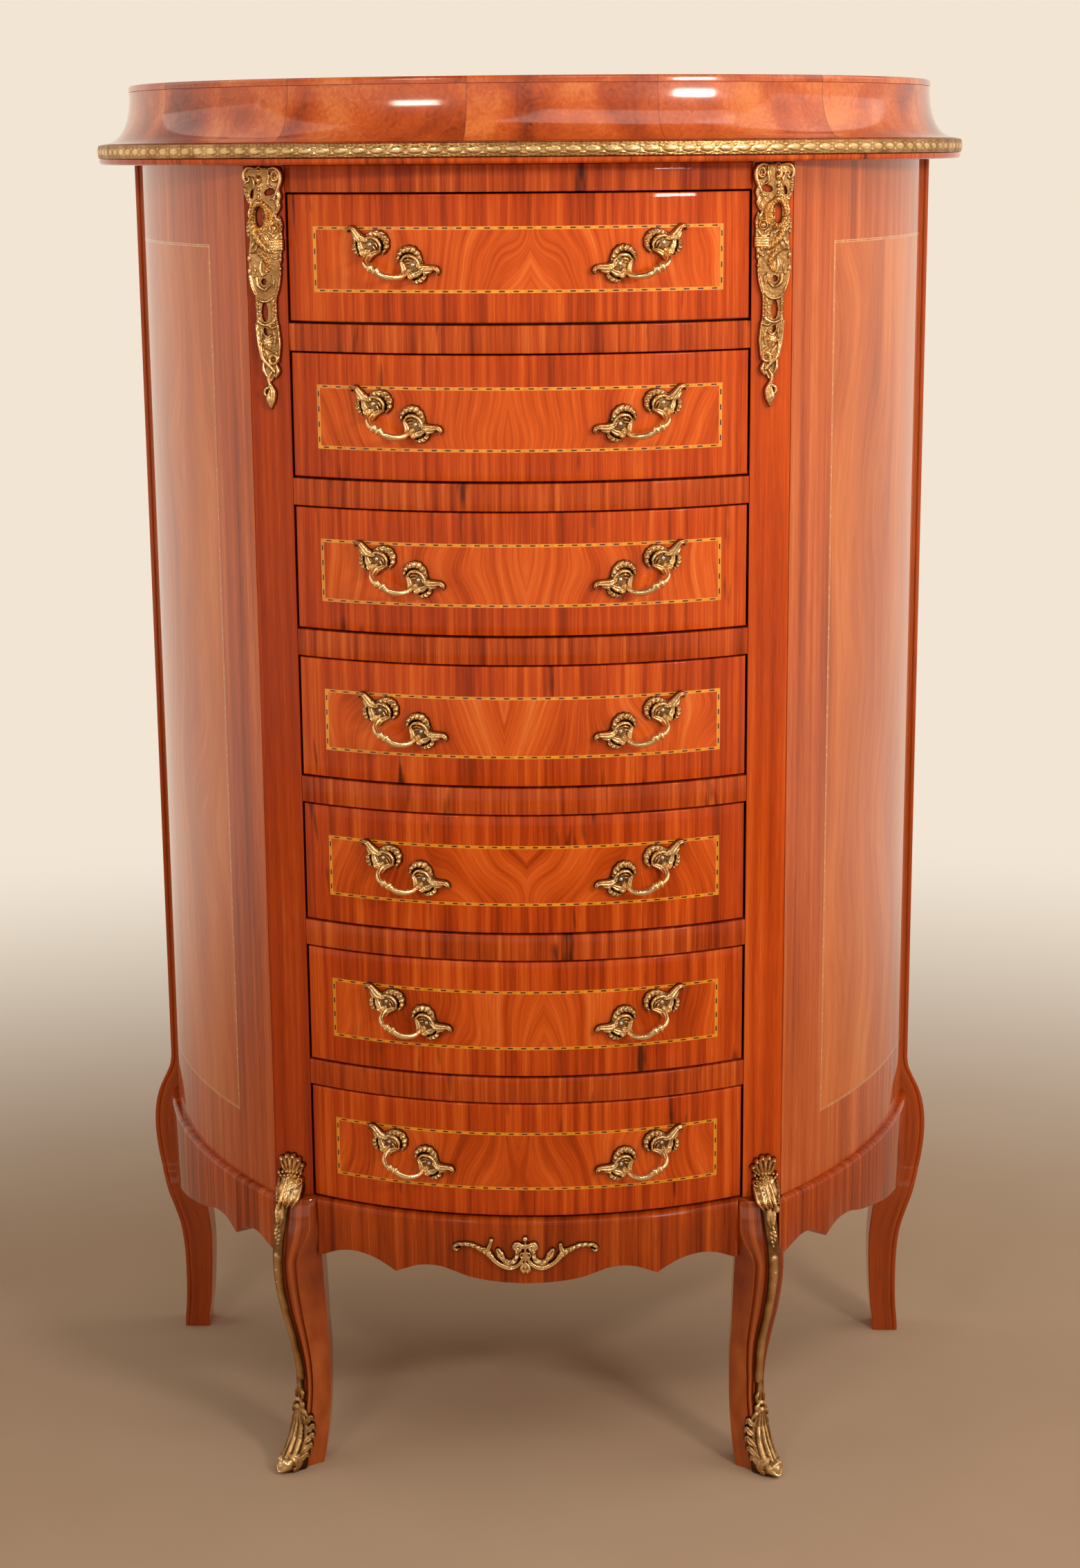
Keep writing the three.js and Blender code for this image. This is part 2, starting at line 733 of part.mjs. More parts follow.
// Corner mount: a pierced, tapering plate on the face of the corner post
function cornerMount() {
  const half = cornerMountWidth / 2;
  const rightEdge = cornerMountShares.map(([down, wide]) => {
    return new THREE.Vector2(half * wide, -down * cornerMountHeight);
  });
  const leftEdge = rightEdge.map((point) => new THREE.Vector2(-point.x, point.y)).reverse();
  const tip = new THREE.Vector2(0, -cornerMountHeight);
  const shape = new THREE.Shape([...rightEdge, tip, ...leftEdge]);
  cornerMountHoleShares.forEach(([down, across]) => {
    const hole = new THREE.Path();
    const [x, y] = [half * across, -down * cornerMountHeight];
    hole.absellipse(x, y, mountHoleWidth / 2, mountHoleHeight / 2, 0, 2 * Math.PI);
    shape.holes.push(hole);
  });
  const settings = { depth: mountThickness, bevelEnabled: false, curveSegments: 6 };
  return new THREE.ExtrudeGeometry(shape, settings).rotateX(Math.PI / 2);
}

function placeCornerMount(name, sideSign) {
  const faceAngle = Math.atan2(postRake, postFaceWidth);
  const middleX = sideSign * (halfOpening + postFaceWidth / 2);
  const middleY = cornerY + postRake / 2;
  const mesh = place(name, cornerMount(), brass);
  mesh.rotation.z = sideSign * faceAngle;
  mesh.position.set(
    middleX + sideSign * jointGap * Math.sin(faceAngle),
    middleY - jointGap * Math.cos(faceAngle),
    caseTopZ - jointGap - cornerMountDrop,
  );
}

// Apron mount: a scrolled spray that follows the bow of the front apron
function apronMount() {
  const half = apronMountWidth / 2;
  const low = ledgeHeight - apronMountDrop - apronMountHeight;
  const back = ledgeProjection + jointGap;
  const right = apronMountShares.map(([across, bottom, top]) => [across, bottom, top]);
  const left = right.slice(1).reverse().map(([across, bottom, top]) => [-across, bottom, top]);
  return loft([...left, ...right].map(([across, bottom, top]) => {
    const x = across * half;
    const [backFace, face] = [bowY(x, back), bowY(x, back + mountThickness)];
    const [bottomZ, topZ] = [low + bottom * apronMountHeight, low + top * apronMountHeight];
    return [
      new THREE.Vector3(x, backFace, bottomZ), new THREE.Vector3(x, face, bottomZ),
      new THREE.Vector3(x, face, topZ), new THREE.Vector3(x, backFace, topZ),
    ];
  }));
}

// Bar across the leg's flat corner: a rectangle in plan, turned to face out and forward
const halfDiagonal = Math.SQRT1_2;

function cornerBar(section, z, width, near, far) {
  const middleX = section.outer - frontLegChamfer / 2;
  const middleY = section.front + frontLegChamfer / 2;
  const point = (out, side) => new THREE.Vector3(
    middleX + (out + side) * halfDiagonal,
    middleY + (side - out) * halfDiagonal,
    z,
  );
  return [point(near, -width / 2), point(far, -width / 2), point(far, width / 2), point(near, width / 2)];
}

// Bar on the corner post's face, by the distance of its middle from the post's outer corner
const faceAlong = new THREE.Vector2(postFaceWidth, postRake).normalize();

function faceBar(z, width, inset, near, far) {
  const point = (out, side) => new THREE.Vector3(
    corner.x + (side - inset) * faceAlong.x + out * faceAlong.y,
    corner.y + (side - inset) * faceAlong.y - out * faceAlong.x,
    z,
  );
  return [point(near, -width / 2), point(far, -width / 2), point(far, width / 2), point(near, width / 2)];
}

// Leg mount: a strip up the leg's outer corner, and a flower head on the corner post's face above it
function legMount() {
  const near = jointGap;
  const far = jointGap + stripThickness;
  const strip = frontLegShares.filter(([share]) => share >= stripFootShare && share < neckFootShare);
  const rings = strip.map(([share]) => {
    return cornerBar(frontLegAt(share), share * ledgeHeight, stripWidth, near, far);
  });
  neckShares.forEach(([share, wide]) => {
    rings.push(cornerBar(frontLegAt(share), share * ledgeHeight, flowerWidth * wide, near, far));
  });
  const headBottom = ledgeHeight + jointGap;
  const headWidth = flowerWidth * along(flowerShares, 0, 1);
  rings.push(cornerBar(frontLegAt(1), headBottom - legTopChamfer, headWidth, near, far));
  rings.push(cornerBar(frontLegAt(1), headBottom, headWidth, near, far));
  flowerShares.forEach(([rise, wide, thick, inset]) => {
    const z = headBottom + legTopChamfer + (flowerHeight - legTopChamfer) * rise;
    rings.push(faceBar(z, flowerWidth * wide, flowerWidth * inset, near, flowerThickness * thick));
  });
  return loft(rings);
}

// Sabot: a brass shoe round the outer corner of the foot, pointed at its top, with a scrolled toe
const sabotShares = [
  [0, 1, 0.8], [0.1, 1, 1], [0.2, 1, 0.55], [0.33, 1, 0.08], [0.6, 0.8, 0], [1, 0.15, 0],
];

function sabot() {
  const height = sabotHeightShare * ledgeHeight;
  const places = sabotShares.map(([share]) => share * sabotHeightShare);
  const legRows = frontLegShares.map(([share]) => share).filter((share) => share < sabotHeightShare);
  const shares = [...new Set([...places, ...legRows])].sort((a, b) => a - b);
  return loft(shares.map((share) => {
    const part = (share * ledgeHeight) / height;
    const reach = THREE.MathUtils.lerp(frontLegChamfer, sabotWrap, along(sabotShares, part, 1));
    const toe = along(sabotShares, part, 2);
    return sabotRing(frontLegAt(share), share * ledgeHeight, reach, toe);
  }));
}

function sabotRing(section, z, reach, toe) {
  const { outer, front } = section;
  const near = jointGap;
  const far = jointGap + sabotThickness;
  const slack = near * Math.tan(Math.PI / 8);
  const farSlack = far * Math.tan(Math.PI / 8);
  const [ahead, aside] = [toe * toeReach, toe * toeSpread];
  const chamfer = frontLegChamfer;
  return [
    new THREE.Vector3(outer - reach, front - near, z),
    new THREE.Vector3(outer - chamfer + slack, front - near, z),
    new THREE.Vector3(outer + near, front + chamfer - slack, z),
    new THREE.Vector3(outer + near, front + reach, z),
    new THREE.Vector3(outer + far, front + reach, z),
    new THREE.Vector3(outer + far + aside, front + chamfer - farSlack - ahead, z),
    new THREE.Vector3(outer - chamfer + farSlack + aside, front - far - ahead, z),
    new THREE.Vector3(outer - reach, front - far, z),
  ];
}

// Case
placePair('corner_post', cornerPost(), veneer);
placePair('side_panel', sidePanel(), panelVeneer);
placePair('leg_back', backLeg(), legWood);
placePair('leg_front', frontLeg(0), legWood);
placePair('apron_side', sideApron(), veneer);
place('apron_front', frontApron(), veneer);
place('back_panel', backPanel(), softwood);
place('bottom_board', bottomBoard(), softwood);
place('frieze_rail', friezeRail(), veneer);
const dividerGeometry = divider();
for (let level = 1; level < drawerCount; level += 1) {
  const mesh = place(`divider_${level}`, dividerGeometry, veneer);
  mesh.position.z = friezeZ - level * openingPitch + railHeight;
}
place('top_base_board', baseBoard(), veneer);
place('top_brass_band', brassBand(), brass);
place('top_cove', coveCap(), burr);
place('top_panel', topPanel(), burr);

// Brass mounts
placeCornerMount('corner_mount_right', 1);
placeCornerMount('corner_mount_left', -1);
placePair('leg_mount', legMount(), brass);
placePair('sabot', sabot(), brass);
place('apron_mount', apronMount(), brass);

// Drawers, from the top one down
const frontGeometry = drawerFront();
const boxGeometry = drawerBox();
const pullGeometry = pull();
for (let number = 1; number <= drawerCount; number += 1) {
  const drawer = new THREE.Group();
  drawer.position.z = friezeZ - number * openingPitch + railHeight;
  chest.add(drawer);
  place(`drawer_${number}_front`, frontGeometry, veneer, drawer);
  place(`drawer_${number}_box`, boxGeometry, softwood, drawer);
  hangPull(drawer, `drawer_${number}_pull_left`, -1, pullGeometry);
  hangPull(drawer, `drawer_${number}_pull_right`, 1, pullGeometry);
}

export default chest;
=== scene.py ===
# %% [markdown]
# # A demilune chest of drawers
# A tall half-round chest: seven bow-front drawers between two corner posts, curved sides, a coved top with a
# cast brass band, shaped aprons and cabriole legs. Everything is polished veneer over a plain carcase, so the
# two things that make it look real are the wood figure under the polish and the relief of the cast brass.
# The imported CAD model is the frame. Every piece below is worked out in that frame, in millimetres.

# %% Load the frame
import math
import bpy
import bmesh
import numpy as np
from functools import partial
from types import SimpleNamespace
from mathutils import Matrix


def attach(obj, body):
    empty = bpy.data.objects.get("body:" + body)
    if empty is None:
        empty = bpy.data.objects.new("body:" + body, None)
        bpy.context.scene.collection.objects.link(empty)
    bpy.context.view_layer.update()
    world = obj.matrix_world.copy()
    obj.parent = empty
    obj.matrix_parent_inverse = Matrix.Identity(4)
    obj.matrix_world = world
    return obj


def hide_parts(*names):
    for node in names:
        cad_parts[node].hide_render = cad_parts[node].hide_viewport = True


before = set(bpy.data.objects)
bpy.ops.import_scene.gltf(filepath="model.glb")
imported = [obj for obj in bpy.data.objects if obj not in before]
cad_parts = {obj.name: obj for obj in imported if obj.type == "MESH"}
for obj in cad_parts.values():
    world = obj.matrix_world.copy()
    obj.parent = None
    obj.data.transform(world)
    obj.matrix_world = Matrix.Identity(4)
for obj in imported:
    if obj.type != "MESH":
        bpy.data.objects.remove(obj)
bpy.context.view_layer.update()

# %% [markdown]
# ## Sizes
# These are the chest's sizes in millimetres, the same as in its CAD source: the script can't read that file,
# so it says them again. Heights are above the floor, x is to the right and y to the back.

# %% Sizes of the case
MM = 0.001
DRAWERS = 7
HALF_OPENING = 196.0
OPENING_HEIGHT = 108.5
RAIL_HEIGHT = 23.0
LEDGE_Z = 260.0
FRIEZE_Z = LEDGE_Z + DRAWERS * (OPENING_HEIGHT + RAIL_HEIGHT) - RAIL_HEIGHT
CASE_TOP_Z = FRIEZE_Z + 22.5
BOW_SAG = 52.0
CORNER_Y, BACK_Y = -115.0, 197.0
PANEL_FRONT_Y, STILE_FRONT_Y = BACK_Y - 8.0, BACK_Y - 22.0
STILE_OUTER_X, STILE_INNER_X = 374.0, 350.0
SIDE_BACK_X = 371.0
POST_FACE = (35.0, 5.0)
POST_CORNER = (HALF_OPENING + POST_FACE[0], CORNER_Y + POST_FACE[1])
JOINT = 0.3

BOW_RADIUS = (HALF_OPENING**2 + BOW_SAG**2) / (2 * BOW_SAG)
BOW_CENTRE_Y = CORNER_Y + BOW_RADIUS - BOW_SAG

SIDE_LEAD = math.radians(48.2)
side_chord = (SIDE_BACK_X - POST_CORNER[0], BACK_Y - POST_CORNER[1])
side_turn = math.atan2(side_chord[1], side_chord[0]) - SIDE_LEAD
SIDE_RADIUS = math.hypot(*side_chord) / (2 * math.sin(side_turn))
SIDE_CENTRE = (
    POST_CORNER[0] - SIDE_RADIUS * math.sin(SIDE_LEAD),
    POST_CORNER[1] + SIDE_RADIUS * math.cos(SIDE_LEAD),
)
print("bow radius", round(BOW_RADIUS, 1), "side radius", round(SIDE_RADIUS, 1))


def drawer_base(number):
    """Height of drawer opening number n, counted from the top one."""
    return FRIEZE_Z - number * (OPENING_HEIGHT + RAIL_HEIGHT) + RAIL_HEIGHT


# %% [markdown]
# ## Camera
# The camera stands where the photographer's did: a little above the chest's middle, slightly right of it, and
# tilted down. Its frame is taller than wide, so the long lens is given on the vertical side of the sensor.

# %% Camera
CAMERA_AT = (0.0928, -2.4303, 1.1928)
YAW, PITCH, ROLL = -0.0338, 0.2314, -0.0082


def stand(thing, right, up, back, at):
    """Puts an object in the scene by its own three axes and its place, the columns of its matrix."""
    placing = np.eye(4)
    placing[:3] = np.stack([right, up, back, at], axis=1)
    bpy.context.scene.collection.objects.link(thing)
    thing.matrix_world = Matrix(placing.tolist())


forward = np.array([math.sin(YAW) * math.cos(PITCH), math.cos(YAW) * math.cos(PITCH), -math.sin(PITCH)])
level = np.array([math.cos(YAW), -math.sin(YAW), 0.0])
upright = np.cross(level, forward)

camera_data = bpy.data.cameras.new("camera")
camera_data.sensor_fit = "VERTICAL"
camera_data.sensor_height = 36.0
camera_data.lens = 62.05
camera_data.clip_end = 20.0
camera = bpy.data.objects.new("camera", camera_data)
stand(camera, math.cos(ROLL) * level + math.sin(ROLL) * upright,
      -math.sin(ROLL) * level + math.cos(ROLL) * upright, -forward, CAMERA_AT)
bpy.context.scene.camera = camera
print("camera at", CAMERA_AT, "lens", camera_data.lens)

# %% [markdown]
# ## Two small helpers for materials
# Colours are written as they look on a screen (sRGB hex) and turned into the linear values that the renderer
# needs. A material is a tree of nodes: one function adds a node, sets its properties and feeds its inputs.


# %% Colours and nodes
def linear(text):
    """sRGB hex to linear: c/12.92 below 0.04045, and ((c + 0.055) / 1.055) to the power 2.4 above."""
    c = np.array([int(text[k : k + 2], 16) for k in (1, 3, 5)]) / 255
    c = np.where(c <= 0.04045, c / 12.92, ((c + 0.055) / 1.055) ** 2.4)
    return (*c.tolist(), 1.0)


def add(tree, kind, inputs=(), output=None, stops=(), **settings):
    """Adds a node with its properties, colour stops and inputs, and returns one output socket.

    The inputs are given by name, or as a row in their own order."""
    made = tree.nodes.new("ShaderNode" + kind)
    for name, value in settings.items():
        setattr(made, name, value)
    if stops:
        ramp = made.color_ramp
        while len(ramp.elements) < len(stops):
            ramp.elements.new(1.0)
        for element, (place, tone) in zip(ramp.elements, stops):
            element.position = place
            element.color = linear(tone) if isinstance(tone, str) else (tone, tone, tone, 1.0)
    named = inputs if isinstance(inputs, dict) else dict(enumerate(inputs))
    for name, value in named.items():
        if isinstance(value, bpy.types.NodeSocket):
            tree.links.new(value, made.inputs[name])
        else:
            made.inputs[name].default_value = value
    if output:
        return made.outputs[output]
    return next((socket for socket in made.outputs if socket.enabled), None)


def new_material(name):
    """An empty node material, and the function that adds a node to it."""
    material = bpy.data.materials.new(name)
    material.use_nodes = True
    material.node_tree.nodes.clear()
    return material, partial(add, material.node_tree)


# %% [markdown]
# ## French-polished veneer
# Veneer is a slice of wood less than a millimetre thick, cut so that its figure shows. Under several coats of
# shellac it is smooth and glossy, so the shader has a clear coat over a dull, coloured base.
# The figure is made in layers, each with a real size: streaks about a centimetre wide, broad clouds, fine
# fibres and a few near-black patches. The streaks and fibres run up the leaf and are pushed sideways by a slow
# noise. A push of a few millimetres leaves them nearly straight, and one of several centimetres bends them into
# the arches that growth rings make on a leaf cut across the log. Every layer moves the tone up or down from its
# middle, so the leaf's mean colour stays where its tones put it.
# Every piece carries its own grain map in metres, u across the grain and v along it.


# %% Veneer
def veneer(name, tones, streak=0.008, figure=(0.07, 0.45), push=0.006, patches=0.66, contrast=1.3,
           gloss=0.05, mirror=1.26):
    """Polished wood: tone = 0.57 + streaks + fibres + clouds, coloured from dark to light by four tones.

    Each layer is a noise stretched to its size across and along the grain, in metres."""
    material, node = new_material(name)
    darkest, *others = tones.split()
    grain = node("UVMap", uv_map="grain")
    place, noise = grain, {}
    for layer, across, along, detail, roughness, start in (
        ("cloud", 0.07, 0.45, 2.0, 0.5, (0, 0, 0)),
        ("sway", *figure, 1.0, 0.35, (0, 0, 0)),
        ("streaks", streak, 0.9, 5.0, 0.66, (0, 0, 0)),
        ("fibres", 0.0011, 0.03, 2.0, 0.5, (0, 0, 0)),
        ("patch", 0.022, 0.15, 3.0, 0.6, (3.1, 7.7, 0)),
    ):
        sized = node("Mapping", {"Vector": place, "Scale": (1 / across, 1 / along, 1), "Location": start})
        look = {"Vector": sized, "Scale": 1.0, "Detail": detail, "Roughness": roughness}
        noise[layer] = node("TexNoise", look)
        if layer == "sway":
            aside = node("Math", (noise["sway"], push), operation="MULTIPLY")
            place = node("VectorMath", (grain, node("CombineXYZ", {"X": aside})), operation="ADD")
    tone = 0.57 - 0.475 * contrast
    for layer, weight in (("streaks", 0.95 * contrast), ("fibres", 0.3), ("cloud", 0.5)):
        tone = node("Math", (noise[layer], weight, tone), operation="MULTIPLY_ADD")
    tone = node("Math", (tone, 0.4), operation="SUBTRACT")
    colour = node("ValToRGB", (tone,), stops=list(zip((0.34, 0.49, 0.64, 0.8), others)))
    patch = node("ValToRGB", (noise["patch"],), stops=[(patches, 0.0), (patches + 0.08, 0.85)])
    colour = node("Mix", {0: patch, 6: colour, 7: linear(darkest)}, data_type="RGBA")
    bump = node("Bump", {"Height": noise["fibres"], "Distance": 0.00002, "Strength": 0.25})
    shader = node("BsdfPrincipled", {
        "Base Color": colour, "Normal": bump, "Roughness": 0.45, "Specular IOR Level": 0.05,
        "Coat Weight": 1.0, "Coat Roughness": gloss, "Coat IOR": mirror,
    })
    node("OutputMaterial", {"Surface": shader})
    return material


border_veneer = veneer("polished_kingwood_border", "#240a03 #943204 #b83f08 #d05010 #e4681e",
                       patches=0.63, contrast=1.4)
panel_veneer = veneer("polished_fruitwood_panel", "#5a1f08 #9c3404 #c64a0a #e2601a #f08038",
                      streak=0.013, figure=(0.10, 0.13), push=0.13, patches=0.8, contrast=1.1)
rail_veneer = veneer("polished_kingwood_rail", "#220a05 #8a2c08 #ad400e #c85016 #de6c2a",
                     streak=0.007, patches=0.63, contrast=1.4)
post_veneer_left = veneer("polished_post_veneer_left", "#4a1806 #8a2e0a #a2380e #b44312 #c85822",
                          streak=0.011, patches=0.74, contrast=1.2)
post_veneer_right = veneer("polished_post_veneer_right", "#4a1806 #a83a0a #c4480e #d85614 #e66c28",
                           streak=0.011, patches=0.74, contrast=1.2)
side_border = veneer("polished_side_border", "#3c1808 #963f14 #b8501a #cc6026 #de7a40",
                     streak=0.013, patches=0.68, contrast=1.2, mirror=1.42)
side_leaf = veneer("polished_side_leaf", "#6b3013 #ac4e1e #c7632a #d97434 #e78c4e",
                   streak=0.03, figure=(0.12, 0.26), push=0.13, patches=0.7, contrast=0.9, mirror=1.42)
apron_veneer = veneer("polished_apron_veneer", "#220a03 #7a2806 #9b3b0d #b64910 #cd6122", contrast=1.4)
print("veneers made")

# %% [markdown]
# The inlaid line is boxwood, a pale yellow wood, with dark dashes let into its middle. Both are plain, fine
# woods under the same polish, so they only need a little mottling. The drawers' lining is plain softwood, left
# as the plane left it, so it has no coat and looks dull.


# %% Inlay woods and lining
def plain_wood(name, dark, light, roughness=0.35, coat=1.0):
    """Even wood: a noise 4 mm wide and 60 mm long between two close tones."""
    material, node = new_material(name)
    place = node("TexCoord", output="Object")
    fine = node("Mapping", {"Vector": place, "Scale": (1 / 0.004, 1 / 0.004, 1 / 0.06)})
    noise = node("TexNoise", {"Vector": fine, "Scale": 1.0, "Detail": 3.0})
    colour = node("ValToRGB", (noise,), stops=[(0.3, dark), (0.7, light)])
    shader = node("BsdfPrincipled", {
        "Base Color": colour, "Roughness": roughness, "Specular IOR Level": 0.3,
        "Coat Weight": coat, "Coat Roughness": 0.08,
    })
    node("OutputMaterial", {"Surface": shader})
    return material


boxwood = plain_wood("polished_boxwood_line", "#e08612", "#fca820")
dark_dash = plain_wood("polished_ebonised_dash", "#2c0e05", "#4a1a0a")
side_line = plain_wood("polished_side_line", "#cf8746", "#e6a564")
lining = plain_wood("planed_softwood_lining", "#b98a56", "#cfa36e", roughness=0.7, coat=0.0)
print("plain woods made")

# %% [markdown]
# ## Aged brass
# The mounts are cast brass, cleaned on the high places and left dark in the hollows. The reliefs carry a
# height attribute, so the colour and the roughness follow the real hollows and not a painted picture.


# %% Brass
def cast_brass(name, hollow, middle, worn, roughness):
    """Brass: the relief attribute mixes patina, brass and worn high spots, over 3 mm dents and casting grain."""
    material, node = new_material(name)
    relief = node("Attribute", output="Fac", attribute_name="relief")
    place = node("TexCoord", output="Object")
    grit, cloud, dents = (
        node("TexNoise", {"Vector": place, "Scale": scale, "Detail": detail})
        for scale, detail in ((900.0, 3.0), (60.0, 2.0), (330.0, 1.0))
    )
    height = node("Math", (cloud, 0.5, -0.25), operation="MULTIPLY_ADD")
    height = node("Math", (height, relief), operation="ADD")
    colour = node("ValToRGB", (height,), stops=[(0.12, hollow), (0.42, middle), (0.8, worn)])
    rough = node("MapRange", {"Value": height, "To Min": roughness + 0.2, "To Max": roughness - 0.08})
    bump = node("Bump", {"Height": dents, "Distance": 0.0006, "Strength": 0.6})
    bump = node("Bump", {"Height": grit, "Normal": bump, "Distance": 0.00008, "Strength": 0.5})
    shader = node("BsdfPrincipled", {"Base Color": colour, "Metallic": 1.0, "Roughness": rough, "Normal": bump})
    node("OutputMaterial", {"Surface": shader})
    return material


brass = cast_brass("cast_brass_aged", "#4a2e16", "#b08350", "#fad49a", roughness=0.28)
print("brass made")

# %% [markdown]
# ## Surfaces
# Each piece is a set of patches. A patch is a grid of points worked out as one numpy array, or one flat
# polygon that closes an end. The patches are welded where they meet, so each piece is one closed body, and its
# normals are turned outwards.


# %% Patches
def join(*parts):
    """Points from their coordinates: numbers or arrays, spread to one shape and stacked on a last axis."""
    return np.stack(np.broadcast_arrays(*parts), axis=-1).astype(float)


def quads_of(index):
    """The four corners of every cell of a grid, in turn."""
    return np.stack([index[:-1, :-1], index[1:, :-1], index[1:, 1:], index[:-1, 1:]], axis=-1)


def grid_patch(points, grain, slots=0):
    """Quads over a grid of points (rows, columns, 3), with a grain value and a material number for each."""
    rows, columns = points.shape[:2]
    quads = quads_of(np.arange(rows * columns).reshape(rows, columns)).reshape(-1, 4)
    return {
        "points": points.reshape(-1, 3),
        "faces": quads.tolist(),
        "grain": grain.reshape(-1, 2)[quads].reshape(-1, 2),
        "slots": np.broadcast_to(slots, (rows - 1, columns - 1)).reshape(-1),
    }


def end_patch(ring, grain, slot=0):
    """One flat face over a ring of points."""
    return {"points": ring, "faces": [list(range(len(ring)))], "grain": grain, "slots": np.array([slot])}


def loft(rings, grain, slot=0):
    """Closed body through rings (rows, points, 3): a tube of quads whose last column meets the first, and ends."""
    closed, closed_grain = (np.concatenate([grid, grid[:, :1]], axis=1) for grid in (rings, grain))
    return [grid_patch(closed, closed_grain, slot), *(end_patch(rings[k], grain[k], slot) for k in (0, -1))]


def slab(face, grain, slots, back_plan, edge_slots):
    """Closed slab: its face (columns, heights, 3), a back over a plan line, and four edges between them.

    The edge slots are the materials of the level edges, of the upright edges and of the back."""
    heights = face[0, :, 2]
    back = join(back_plan[:, :1], back_plan[:, 1:], heights[[0, -1]])
    level = [(edge_slots[0], face[:, k], back[:, k], grain[:, k]) for k in (0, -1)]
    upright = [(edge_slots[1], face[k], join(*back_plan[k], heights), grain[k]) for k in (0, -1)]
    edges = [grid_patch(np.stack([edge, edge_back], 1), np.stack([run, run], 1), slot)
             for slot, edge, edge_back, run in level + upright]
    return [grid_patch(face, grain, slots), *edges, grid_patch(back, grain[:, [0, -1]], edge_slots[2])]


# %% Pieces from patches
def piece(name, patches, materials, body, node, sharp=38.0):
    """Welds patches into one object, turns its faces outwards, smooths it, and ties it to the frame."""
    joined = {key: np.concatenate([patch[key] for patch in patches]) for key in patches[0] if key != "faces"}
    starts = np.cumsum([0, *(len(patch["points"]) for patch in patches)]).tolist()
    faces = [[start + k for k in face] for start, patch in zip(starts, patches) for face in patch["faces"]]
    mesh = bpy.data.meshes.new(name)
    mesh.from_pydata((joined["points"] * MM).tolist(), [], faces)
    mesh.uv_layers.new(name="grain").uv.foreach_set("vector", joined["grain"].astype("f").ravel())
    mesh.polygons.foreach_set("material_index", joined["slots"].astype("i"))
    if "relief" in joined:
        relief = mesh.attributes.new("relief", "FLOAT", "POINT")
        relief.data.foreach_set("value", joined["relief"].astype("f"))
    work = bmesh.new()
    work.from_mesh(mesh)
    bmesh.ops.remove_doubles(work, verts=work.verts, dist=0.01 * MM)
    bmesh.ops.recalc_face_normals(work, faces=work.faces)
    work.to_mesh(mesh)
    work.free()
    for material in materials:
        mesh.materials.append(material)
    mesh.shade_smooth()
    mesh.set_sharp_from_angle(angle=math.radians(sharp))
    made = bpy.data.objects.new(name, mesh)
    bpy.context.scene.collection.objects.link(made)
    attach(made, body)
    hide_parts(node)


def mirrored(patches):
    """The same patches on the other side of x = 0; their faces are turned out again when they are welded."""
    return [{**patch, "points": patch["points"] * (-1, 1, 1)} for patch in patches]


def pair(name, node, right, left, materials, left_materials=None, sharp=38.0):
    """A piece on the right of the case and, from patches made for the right too, its twin on the left."""
    piece(name + "_right", right, materials, "case", node + "_right", sharp)
    piece(name + "_left", mirrored(left), left_materials or materials, "case", node + "_left", sharp)


# %% [markdown]
# ## Curves of the plan
# The front is one arc between the corner posts, each side is one arc from its post to the back, and the top is
# half of a superellipse. Tables of shares are turned into smooth curves, with a kink only where one is named.


# %% Plan curves
def bow_y(x, out=0.0):
    """y of the front's arc at x, moved out: centre minus the root of (radius + out) squared less x squared."""
    return BOW_CENTRE_Y - np.sqrt((BOW_RADIUS + out) ** 2 - np.square(x))


def bow_arc(x):
    """Distance along the front's arc from its middle: radius times the arc sine of x over radius."""
    return BOW_RADIUS * np.arcsin(x / BOW_RADIUS)


def side_point(angle, out=0.0):
    """Point of the right side's arc where it runs at an angle to +X, moved out by a distance."""
    radius = SIDE_RADIUS + out
    return join(SIDE_CENTRE[0] + radius * np.sin(angle), SIDE_CENTRE[1] - radius * np.cos(angle))


def side_angle(y, out):
    """Angle at which the side's arc reaches a y: the arc cosine of the height above it over the radius."""
    return np.arccos((SIDE_CENTRE[1] - y) / (SIDE_RADIUS + out))


def smooth(table, places, kinks=()):
    """Cubic curves through a table's rows. A row's slope is the mean of its two chords, or each chord at a kink."""
    table = np.asarray(table, float)
    at, values = table[:, 0], table[:, 1:]
    chord = np.diff(values, axis=0) / np.diff(at)[:, None]
    before, after = np.vstack([chord[:1], chord]), np.vstack([chord, chord[-1:]])
    middle = (before + after) / 2
    kinked = np.isin(np.arange(len(at)), kinks)[:, None]
    left, right = np.where(kinked, before, middle), np.where(kinked, after, middle)
    row = np.clip(np.searchsorted(at, places, side="right") - 1, 0, len(at) - 2)
    span = (at[row + 1] - at[row])[:, None]
    t = (places - at[row])[:, None] / span
    return (
        (2 * t**3 - 3 * t**2 + 1) * values[row]
        + (t**3 - 2 * t**2 + t) * span * right[row]
        + (3 * t**2 - 2 * t**3) * values[row + 1]
        + (t**3 - t**2) * span * left[row + 1]
    )


def along_path(path):
    """Distance from a path's first point to each of its points."""
    return np.concatenate([[0], np.cumsum(np.linalg.norm(np.diff(path, axis=0), axis=1))])


# %% [markdown]
# ## Flush inlay
# An inlaid line is made as it is on the real chest: faces of their own wood, let in flush. So a panel's columns
# and rows are cut exactly at the edges of the line and of each dash, and each cell gets its wood's number.


# %% Cuts and cells of an inlay
def dash_edges(low, high, pitch, length, spacing=0.0):
    """Start and end of each dash between two places: one dash, or a pair, at every pitch, spread evenly."""
    count = round((high - low) / pitch)
    middles = low + (np.arange(count) + 0.5) * (high - low) / count
    middles = np.add.outer(middles, np.unique([-spacing / 2, spacing / 2])).ravel()
    return middles - length / 2, middles + length / 2


def in_dashes(place, edges):
    """True where a place lies between the start and the end of one of the dashes."""
    starts, ends = edges
    return ((place[..., None] > starts) & (place[..., None] < ends)).any(axis=-1)


